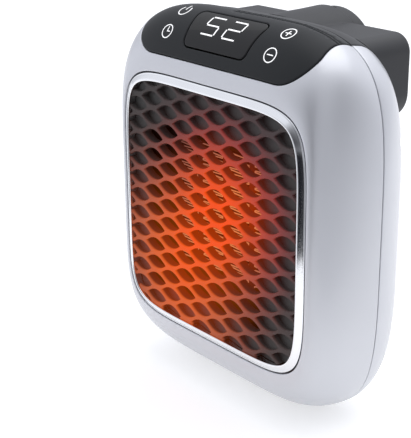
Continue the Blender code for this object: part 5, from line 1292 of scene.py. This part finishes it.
# Walls close the lattice round its outside, from the front edge to the back one.
for edge in [edge for edge in lattice.edges if edge.is_boundary
             and all(at_depth(vertex, GRILLE_FRONT) for vertex in edge.verts)]:
    deep = [deep_vertices[nearest.find((vertex.co.x, MIDDLE.y + GRILLE_BACK, vertex.co.z))[1]]
            for vertex in edge.verts]
    lattice.faces.new((edge.verts[0], edge.verts[1], deep[1], deep[0]))
lattice_mesh = bpy.data.meshes.new("front_grille_cells")
lattice.to_mesh(lattice_mesh)
lattice.free()
outward(lattice_mesh)
front_grille = placed("front_grille_cells", lattice_mesh)


def settle(piece):
    """Make a piece's modifiers permanent."""
    mesh = evaluated(piece)
    piece.modifiers.clear()
    piece.data = mesh


def combine(piece, other, operation):
    """Join a piece and another, cut it by that, or keep what both share; the other goes."""
    change = piece.modifiers.new("combine", "BOOLEAN")
    change.operation, change.solver, change.object = operation, "EXACT", other
    settle(piece)
    bpy.data.objects.remove(other)


cutter_rows = [[(x, depth, z) for x, z in rounded_square(-RIM_INSET)] for depth in (-0.001, 0.010)]
combine(front_grille, solid("grille_outline", cutter_rows, GRILLE), "INTERSECT")
smoothed(front_grille.data, GRILLE, GRILLE_CREASE)
for helper in (open_cell, blind_cell):
    bpy.data.objects.remove(helper)
hand_over(front_grille, "heater", "grille_plastic", "front_grille")

# %% [markdown]
# ## Folded fins
#
# The element's fins are thin aluminium strip, folded to and fro between the ceramic bars.
# One fold is drawn as a thin closed band, and the lattice tree stacks it in four columns.

# %% Folded fins
FIN_PACKS = ["fin_pack_" + str(number) for number in (1, 2, 3, 4)]
fin_boxes = [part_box(name) for name in FIN_PACKS]
FIN_FRONT, FIN_BACK = fin_boxes[0][0].y - MIDDLE.y, fin_boxes[0][1].y - MIDDLE.y
FIN_HALF = (fin_boxes[0][1].x - fin_boxes[0][0].x) / 2.0 - 0.0001
FOLD, SHEET, FOLD_BEND = 0.0022, 0.00018, 0.00030
FOLD_COUNT = int((fin_boxes[0][1].z - fin_boxes[0][0].z) / FOLD)
EVERYWHERE = 1.0


def tube_faces(count, closed):
    """Faces of a four-sided tube whose four rows of points run along it."""
    faces = []
    for index in range(count if closed else count - 1):
        after = (index + 1) % count
        for here in range(4):
            there = (here + 1) % 4
            faces.append((here * count + index, there * count + index,
                          there * count + after, here * count + after))
    if not closed:
        faces += [tuple(here * count for here in range(4)),
                  tuple(here * count + count - 1 for here in range(3, -1, -1))]
    return faces


fold_line = np.array([(-FIN_HALF, -FOLD_BEND), (-FIN_HALF, FOLD_BEND),
                      (FIN_HALF, FOLD / 2.0 - FOLD_BEND), (FIN_HALF, FOLD / 2.0 + FOLD_BEND),
                      (-FIN_HALF, FOLD - FOLD_BEND)]) - (0.0, FOLD / 2.0)
fold_mesh = bpy.data.meshes.new("fold")
fold_mesh.from_pydata(
    [(x, depth, z) for way, depth in ((1.0, FIN_FRONT), (1.0, FIN_BACK), (-1.0, FIN_BACK),
                                      (-1.0, FIN_FRONT))
     for x, z in grown(fold_line, SHEET / 2.0 * way, closed=False)],
    [], tube_faces(len(fold_line), False))
outward(fold_mesh)
fold = placed("fold", fold_mesh)
fin_step = fin_boxes[1][0].x - fin_boxes[0][0].x
middle = (Vector(fin_boxes[0][0]) + Vector(fin_boxes[3][1])) / 2.0 - MIDDLE
folded_fins = placed("folded_fins", by_nodes("fins", LATTICE, {
    "Shape": fold, "Across": len(FIN_PACKS), "Up": FOLD_COUNT,
    "Width": (len(FIN_PACKS) - 1) * fin_step, "Height": (FOLD_COUNT - 1) * FOLD,
    "Middle": (middle.x, 0.0, middle.z), "Window middle": (0.0, 0.0, 0.0),
    "Window half width": EVERYWHERE, "Window half height": EVERYWHERE,
    "Inside": True, "Material": FINS}))
bpy.data.objects.remove(fold)
hand_over(folded_fins, "heater", "aluminium", *FIN_PACKS)

# %% [markdown]
# ## The plug housing, the turning plug and the fan
#
# The housing is a hollow bar with a round boss, which runs forward into the body's
# rounded top. The plug base is turned, with a groove on its face, an index notch in its
# rim and two passages for the blades. The fan has seven broad twisted blades, which
# overlap as seen from the front, so that nobody sees through the heater.

# %% Plug housing
PLUG_LEVEL, HOUSING_BACK, HOUSING_ROUND = 0.0525, 0.060, 0.0012
HOUSING_HALF, HOUSING_LOW, HOUSING_HIGH, HOUSING_STEP = 0.0445, 0.0365, 0.0694, 0.004
LOW_CORNER, HIGH_CORNER = 0.011, 0.007
BOSS = [(0.0211, 0.0300), (0.0213, 0.0520)]
HOUSING_FRONT, HOUSING_WALL, HOLLOW_FRONT, HOLLOW_BACK = 0.0262, 0.0022, 0.0200, 0.0578
BODY_GAP, BODY_ROWS, BODY_COUNT = 0.0002, 16, 160


def turned(name, profile, level, material, count=144):
    """A closed piece turned about an axis that runs front to back at a height."""
    return solid(name, [[(radius * math.cos(turn), depth, level + radius * math.sin(turn))
                         for turn in turns(count)] for radius, depth in profile], material)


def prism(name, outline, sections, material):
    """A closed piece through an outline seen from behind, at (grow, depth) sections."""
    return solid(name, [[(x, depth, z) for x, z in grown(outline, grow)]
                        for grow, depth in sections], material)


def quarter(radius, depth, size, steps=5):
    """The (radius, depth) points of a quarter round that ends at a depth."""
    shares = [step / steps * math.pi / 2.0 for step in range(steps + 1)]
    return [(radius - size * (1.0 - math.cos(turn)), depth - size * (1.0 - math.sin(turn)))
            for turn in shares]


def even_shading(piece, material):
    """One material, smooth faces, and flat faces that stay flat."""
    smoothed(piece.data, material)
    piece.modifiers.new("even", "WEIGHTED_NORMAL").keep_sharp = True
    settle(piece)
    return piece


housing_line = divided(rounded([
    (-HOUSING_HALF, HOUSING_LOW, LOW_CORNER), (HOUSING_HALF, HOUSING_LOW, LOW_CORNER),
    (HOUSING_HALF, HOUSING_HIGH, HIGH_CORNER), (-HOUSING_HALF, HOUSING_HIGH, HIGH_CORNER)], 14),
    HOUSING_STEP)
housing = prism("plug_housing_bar", housing_line, [(0.0, HOUSING_FRONT)]
                + quarter(0.0, HOUSING_BACK, HOUSING_ROUND), BACK_DARK)
combine(housing, turned("boss", BOSS + quarter(0.0216, 0.0615, 0.0007), PLUG_LEVEL, BACK_DARK),
        "UNION")
body_rows = [ring(lambda angle: back_radius(angle) * 0.15, 0.0, BODY_COUNT)]
body_rows += [ring(back_radius, REAR_MAP * row / BODY_ROWS, BODY_COUNT)
              for row in range(BODY_ROWS + 1)]
body_rows = [on_rear(row) + facing(on_rear, row, -1.0) * BODY_GAP for row in body_rows]
body_rows.append(body_rows[-1] * (1.0, 0.0, 1.0))
for cutter in (
        prism("hollow", housing_line, [(-HOUSING_WALL, HOLLOW_FRONT),
                                       (-HOUSING_WALL, HOLLOW_BACK)], BACK_DARK),
        turned("wide", [(0.0193, 0.0250), (0.0193, HOLLOW_BACK)], PLUG_LEVEL, BACK_DARK),
        turned("narrow", [(0.0163, 0.0570), (0.0163, 0.0650)], PLUG_LEVEL, BACK_DARK),
        solid("body", body_rows, BACK_DARK)):
    combine(housing, cutter, "DIFFERENCE")
hand_over(even_shading(housing, BACK_DARK), "heater", "rear_charcoal", "plug_housing")

# %% Turning plug
turret = turned("plug_base", [(0.0160, 0.0575), (0.0160, 0.0623), (0.0199, 0.0623),
                              (0.0203, 0.0625), (0.0205, 0.0629)]
                + quarter(0.0205, 0.0680, 0.0012)
                + [(0.0172, 0.0680), (0.0169, 0.0677), (0.0163, 0.0677), (0.0160, 0.0680)],
                PLUG_LEVEL, BACK_DARK)
combine(turret, turned("recess", [(0.0143, 0.0570), (0.0143, 0.0603)], PLUG_LEVEL, BACK_DARK),
        "DIFFERENCE")
BLADE_PLACE, PASSAGE_HALF, PASSAGE_HALF_HEIGHT = 0.00635, 0.00088, 0.00328
# Two passages for the blades and the index notch: left and right, low and high, near and far.
boxes = [((side * BLADE_PLACE - PASSAGE_HALF, side * BLADE_PLACE + PASSAGE_HALF),
          (PLUG_LEVEL - PASSAGE_HALF_HEIGHT, PLUG_LEVEL + PASSAGE_HALF_HEIGHT),
          (0.0590, 0.0690)) for side in (-1, 1)]
boxes.append(((-0.0015, 0.0015), (PLUG_LEVEL + 0.0191, PLUG_LEVEL + 0.0215), (0.0615, 0.0647)))
for (left, right), (low, high), (near, far) in boxes:
    outline = np.array([(left, low), (right, low), (right, high), (left, high)])
    combine(turret, prism("cutter", outline, [(0.0, near), (0.0, far)], BACK_DARK), "DIFFERENCE")
hand_over(even_shading(turret, BACK_DARK), "plug", "rear_charcoal", "plug_turret")

# %% Screw wells
WELL_INNER, WELL_OUTER, WELL_FLOOR_WALL, WELL_SET = 0.0031, 0.0042, 0.0012, 0.0017
for number, place in enumerate(WELLS):
    inner, outer = disc(place, WELL_INNER), disc(place, WELL_OUTER)
    tops = on_rear(rear_map(inner))[:, 1] - WELL_SET
    rows = [[(x, WELL_FLOOR - WELL_FLOOR_WALL, z) for x, z in outer],
            [(x, top, z) for (x, z), top in zip(outer, tops)],
            [(x, top, z) for (x, z), top in zip(inner, tops)],
            [(x, WELL_FLOOR, z) for x, z in inner]]
    well = solid("screw_well_" + str(number + 1), rows, SILVER)
    hand_over(even_shading(well, SILVER), "heater", "silver_paint")

# %% Fan with overlapping blades


def ring_tree():
    """The tree that repeats a shape round the fan's axis."""
    graph, given = node_group("ring", (("Shape", "Object"), ("Count", "Int"),
                                       ("Material", "Material")))
    points = graph.field("GeometryNodeMeshLine", None, {
        "Count": given["Count"], "Offset": (0.0, 0.0, 0.0)})
    share = graph.field("GeometryNodeInputIndex") / given["Count"]
    turn = graph.field("ShaderNodeCombineXYZ", None, {1: share * (2.0 * math.pi)})
    return repeated(graph, given, {"Points": points, "Rotation": turn})


BLADE_COUNT, BLADE_SPAN, BLADE_SKEW = 7, math.radians(56.0), math.radians(9.0)
HUB_RADIUS, TIP_RADIUS, ROOT_DEPTH = 0.0112, 0.0368, 0.0008
BLADE_FRONT, BLADE_PITCH, BLADE_CAMBER = 0.0282, 0.0060, 0.0006
EDGE_HALF, MIDDLE_HALF = 0.0002, 0.0003
blade_rows = []
for out in np.linspace(HUB_RADIUS - ROOT_DEPTH, TIP_RADIUS, 9):
    across = np.linspace(0.0, 1.0, 13)
    angle = BLADE_SKEW * out / TIP_RADIUS + BLADE_SPAN * (across - 0.5)
    depth = BLADE_FRONT + BLADE_PITCH * across - BLADE_CAMBER * np.sin(np.pi * across)
    half = EDGE_HALF + MIDDLE_HALF * np.sin(np.pi * across)
    near, far = [[(out * math.cos(a), y, out * math.sin(a)) for a, y in zip(angle, side)]
                 for side in (depth - half, depth + half)]
    blade_rows.append(near + far[::-1])
blade = solid("blade", blade_rows, FAN_WHITE)
blade.data.transform(Matrix.Translation(-MIDDLE))
fan = placed("fan_with_broad_blades", by_nodes("fan", ring_tree(), {
    "Shape": blade, "Count": BLADE_COUNT, "Material": FAN_WHITE}))
bpy.data.objects.remove(blade)
combine(fan, turned("hub", [(0.0080, 0.0271), (0.0100, 0.0275), (0.0110, 0.0285),
                            (HUB_RADIUS, 0.0295), (HUB_RADIUS, 0.0353)], 0.0, FAN_WHITE, 72),
        "UNION")
hand_over(even_shading(fan, FAN_WHITE), "fan", "fan_plastic", "fan_impeller")

# %% [markdown]
# ## Signs on the panel and the lit digits
#
# The signs are printed on the panel, and the digits shine through the pane. Both are thin
# raised strips that follow the slope: a line is drawn on the slope's flat map, given a
# width, and laid on the surface.

# %% Strips along lines on the slope
STRIP_STEP, STRIP_FOOT, STRIP_TOP = 0.0004, -0.00005, 0.00006


def strip(line, width, closed=False):
    """Vertices and faces of a thin raised strip on the slope, along a line in metres."""
    line = divided(np.array(line), STRIP_STEP, closed)
    rows = []
    for way, rise in ((1.0, STRIP_FOOT), (1.0, STRIP_TOP), (-1.0, STRIP_TOP), (-1.0, STRIP_FOOT)):
        side_line = grown(line, width / 2.0 * way, closed)
        rows.append(on_slope(side_line) + facing(on_slope, side_line, 1.0) * rise)
    return np.concatenate(rows), tube_faces(len(line), closed)


def one_piece(name, strips, slot):
    """One lit piece of many strips."""
    vertices, faces = [], []
    for points, local in strips:
        first = len(vertices)
        vertices.extend(points)
        faces.extend(tuple(first + index for index in face) for face in local)
    piece = new_piece(name, vertices, faces, SIGN)
    outward(piece.data)
    piece.data.set_sharp_from_angle(angle=CREASE)
    return hand_over(piece, "heater", slot)


def arc(centre, radius, start, end, count=40):
    """Points of an arc on the slope, by degrees."""
    return np.array(centre) + from_polar(np.radians(np.linspace(start, end, count)), radius)


STROKE, SIGN_RADIUS = 0.00038, 0.0027
power_place, clock_place = np.array((-0.0283, 0.0252)), np.array((-0.0291, 0.0144))
plus_place, minus_place = np.array((0.0300, 0.0246)), np.array((0.0290, 0.0145))
circles = [strip(arc(place, SIGN_RADIUS, 0.0, 351.0), STROKE, closed=True)
           for place in (clock_place, plus_place, minus_place)]
power = [strip(arc(power_place, SIGN_RADIUS, 138.0, 402.0), STROKE),
         strip([power_place + (0.0, 0.0003), power_place + (0.0, 0.0032)], STROKE)]
hands = [strip([clock_place + (0.0, 0.0020), clock_place], STROKE),
         strip([clock_place + (-STROKE / 2.0, 0.0), clock_place + (0.0015, 0.0)], STROKE)]
marks = [strip([plus_place - (0.0014, 0.0), plus_place + (0.0014, 0.0)], STROKE),
         strip([plus_place - (0.0, 0.0014), plus_place + (0.0, 0.0014)], STROKE),
         strip([minus_place - (0.0015, 0.0), minus_place + (0.0015, 0.0)], STROKE)]
one_piece("panel_signs", circles + power + hands + marks, "panel_charcoal")

# %% Seven-segment digits
DIGIT_LOW, DIGIT_HIGH, DIGIT_WIDE, DIGIT_LEAN = 0.01635, 0.02445, 0.0074, 0.0009
SEGMENT, SEGMENT_GAP = 0.00058, 0.00034
SEGMENTS = {"top": ((0.0, 2.0), (1.0, 2.0)), "middle": ((0.0, 1.0), (1.0, 1.0)),
            "bottom": ((0.0, 0.0), (1.0, 0.0)), "high left": ((0.0, 1.0), (0.0, 2.0)),
            "high right": ((1.0, 1.0), (1.0, 2.0)), "low left": ((0.0, 0.0), (0.0, 1.0)),
            "low right": ((1.0, 0.0), (1.0, 1.0))}
LIT = {"five": (-0.0106, ("top", "high left", "middle", "low right", "bottom")),
       "two": (0.0014, ("top", "high right", "middle", "low left", "bottom"))}


def digit_line(left, ends):
    """A segment's two ends on the slope, shortened by the gap and leaning with the digit."""
    places = []
    for across, level in ends:
        share = level / 2.0
        places.append(Vector((left + across * DIGIT_WIDE + share * DIGIT_LEAN,
                              DIGIT_LOW + share * (DIGIT_HIGH - DIGIT_LOW))))
    along = (places[1] - places[0]).normalized() * SEGMENT_GAP
    return [tuple(places[0] + along), tuple(places[1] - along)]


one_piece("lit_digits", [strip(digit_line(left, SEGMENTS[part]), SEGMENT)
                         for left, parts in LIT.values() for part in parts], "gloss_window")

# %% [markdown]
# ## The solids that stay
#
# The turned, flat and small parts inside already have their true shape in the solids, so
# each keeps its mesh and takes the finish of its material.

# %% Finishes of the carried-over solids
KEPT = {
    AIR_PATH: ("baffle_plate", "heat_duct", "element_holder"),
    BACK_DARK: ("turret_retainer", "fan_shroud", "motor_bracket"),
    BARS: ("ceramic_bar_1", "ceramic_bar_2", "ceramic_bar_3"),
    BRASS: ("heater_terminal_left", "heater_terminal_right", "slip_ring_inner", "slip_ring_outer",
            "plug_blade_left", "plug_blade_right"),
    STEEL: ("motor_shaft", "fan_motor", "thermal_cutout", "board_screw_left", "board_screw_right",
            "retainer_screw_upper", "retainer_screw_lower", "housing_screw_left",
            "housing_screw_right", "case_screw_upper_left", "case_screw_upper_right",
            "case_screw_lower_left", "case_screw_lower_right"),
    FAN_WHITE: ("thermal_fuse",),
    BOARD: ("control_board", "power_board", "contact_board"),
    BLUE: ("relay", "film_capacitor"),
    FOAM: ("display_module", "touch_pad_power", "touch_pad_timer", "touch_pad_plus",
           "touch_pad_minus"),
    RED: ("motor_lead_left", "motor_lead_right", "supply_lead_left", "supply_lead_right"),
    CARBON: ("brush_inner", "brush_outer"),
}
for material, names in KEPT.items():
    for name in names:
        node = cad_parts[name]
        node.data.materials.clear()
        node.data.materials.append(material)
print("kept solids:", sum(len(names) for names in KEPT.values()))

# %% [markdown]
# ## The room, the floor and the lamp
#
# The room is an even light grey. It is darker in front, at the right and behind at the
# left, and brighter above and in front at the left, and the lacquer and the bright frame
# mirror that. A sheet of white paper lies under the heater, and one large soft lamp hangs
# over it. The camera sees the room as plain white, and the camera and the mirroring
# pieces see the paper brighter than it lights the heater, so the background turns white
# while the silver keeps its own level.

# %% World
world = bpy.data.worlds.new("studio")
world.use_nodes = True
scene.world = world
world.node_tree.nodes.clear()
room = Graph(world.node_tree)
rays = room.add("ShaderNodeLightPath")
seen_directly = room.maths("MAXIMUM", Field(room, rays.outputs["Is Camera Ray"]),
                           Field(room, rays.outputs["Is Transmission Ray"]))
towards = room.field("ShaderNodeTexCoord", output="Generated")
ROOM_LEVEL, DARKEST = 0.88, 0.015
ROOM_BLACK, ROOM_WHITE, WHITE = (0.0, 0.0, 0.003), (0.96, 0.98, 1.05), (1.0, 1.0, 1.0)
# A direction, the angles where it is full and where it ends, and how much darker it is.
PLACES = {
    "front": ((-0.10, -0.95, -0.18), 16.0, 48.0, 0.42),
    "front, darkest": ((0.28, -0.90, -0.32), 10.0, 20.0, 0.46),
    "right front": ((0.85, -0.50, 0.0), 30.0, 80.0, 0.36),
    "front, high": ((0.14, -0.90, 0.30), 8.0, 30.0, 0.40),
    "right back": ((0.85, 0.40, 0.24), 6.0, 40.0, 0.32),
    "left back": ((-0.93, 0.35, -0.10), 20.0, 60.0, 0.20),
    "top": ((0.10, 0.62, 0.78), 8.0, 48.0, -0.50),
    "left front": ((-0.84, -0.48, -0.26), 8.0, 36.0, -0.28),
}


def darker(direction, inner, outer, amount):
    """The amount near a direction, 0 past the outer angle from it, and smooth between."""
    share = room.field("ShaderNodeVectorMath", {"operation": "DOT_PRODUCT"},
                       {0: towards, 1: tuple(Vector(direction).normalized())}, output=1)
    share = room.step_up(share, math.cos(math.radians(outer)), math.cos(math.radians(inner)))
    return share * share * (3.0 - share * 2.0) * amount


front, darkest, right_front, *others = [darker(*place) for place in PLACES.values()]
level = ROOM_LEVEL - room.maths("MAXIMUM", front + darkest, right_front)
for other in others:
    level = level - other
shade = room.blend(room.maths("MAXIMUM", level, DARKEST), ROOM_BLACK, ROOM_WHITE)
shade = room.blend(seen_directly, shade, WHITE)
background = room.field("ShaderNodeBackground", None, {0: shade, 1: 1.0})
room.add("ShaderNodeOutputWorld", None, {0: background})
print("darker and brighter places:", len(PLACES))

# %% Floor
FLOOR_LEVEL = cad_box[0][2] - 0.0004
FLOOR_CORNERS = ((-3.0, -0.24), (0.164, -0.24), (0.874, 3.0), (-3.0, 3.0))
CAMERA_LIFT, GLOSSY_LIFT = 0.47, 0.40
floor_mesh = bpy.data.meshes.new("floor")
floor_mesh.from_pydata([(x, y, FLOOR_LEVEL) for x, y in FLOOR_CORNERS], [], [(0, 1, 2, 3)])
floor = placed("floor", floor_mesh)
paper = Finish("paper")
rays = paper.add("ShaderNodeLightPath")
fibres = paper.blend(paper.noise(700.0), (0.80, 0.80, 0.80), (0.83, 0.83, 0.83))
sheet = paper.field("ShaderNodeBsdfDiffuse", None, {0: fibres})
lift = paper.field("ShaderNodeEmission", None, {
    0: (*WHITE, 1.0), 1: Field(paper, rays.outputs["Is Camera Ray"]) * CAMERA_LIFT
    + Field(paper, rays.outputs["Is Glossy Ray"]) * GLOSSY_LIFT})
paper.add("ShaderNodeOutputMaterial", None, {
    0: paper.field("ShaderNodeAddShader", None, {0: sheet, 1: lift})})
floor_mesh.materials.append(paper.material)
print("floor at", FLOOR_LEVEL)

# %% The lamp overhead
LAMP_PLACE, LAMP_AIM = Vector((0.05, 0.20, 0.80)), Vector((0.0, -0.02, -0.04))
light = bpy.data.lights.new("overhead", "AREA")
light.size, light.energy = 1.0, 2.6
lamp = placed("overhead", light)
lamp.matrix_world = (Matrix.Translation(LAMP_PLACE)
                     @ (LAMP_PLACE - LAMP_AIM).to_track_quat("Z", "Y").to_matrix().to_4x4())
print("lamp:", lamp.name, light.size, "m wide,", light.energy, "W")
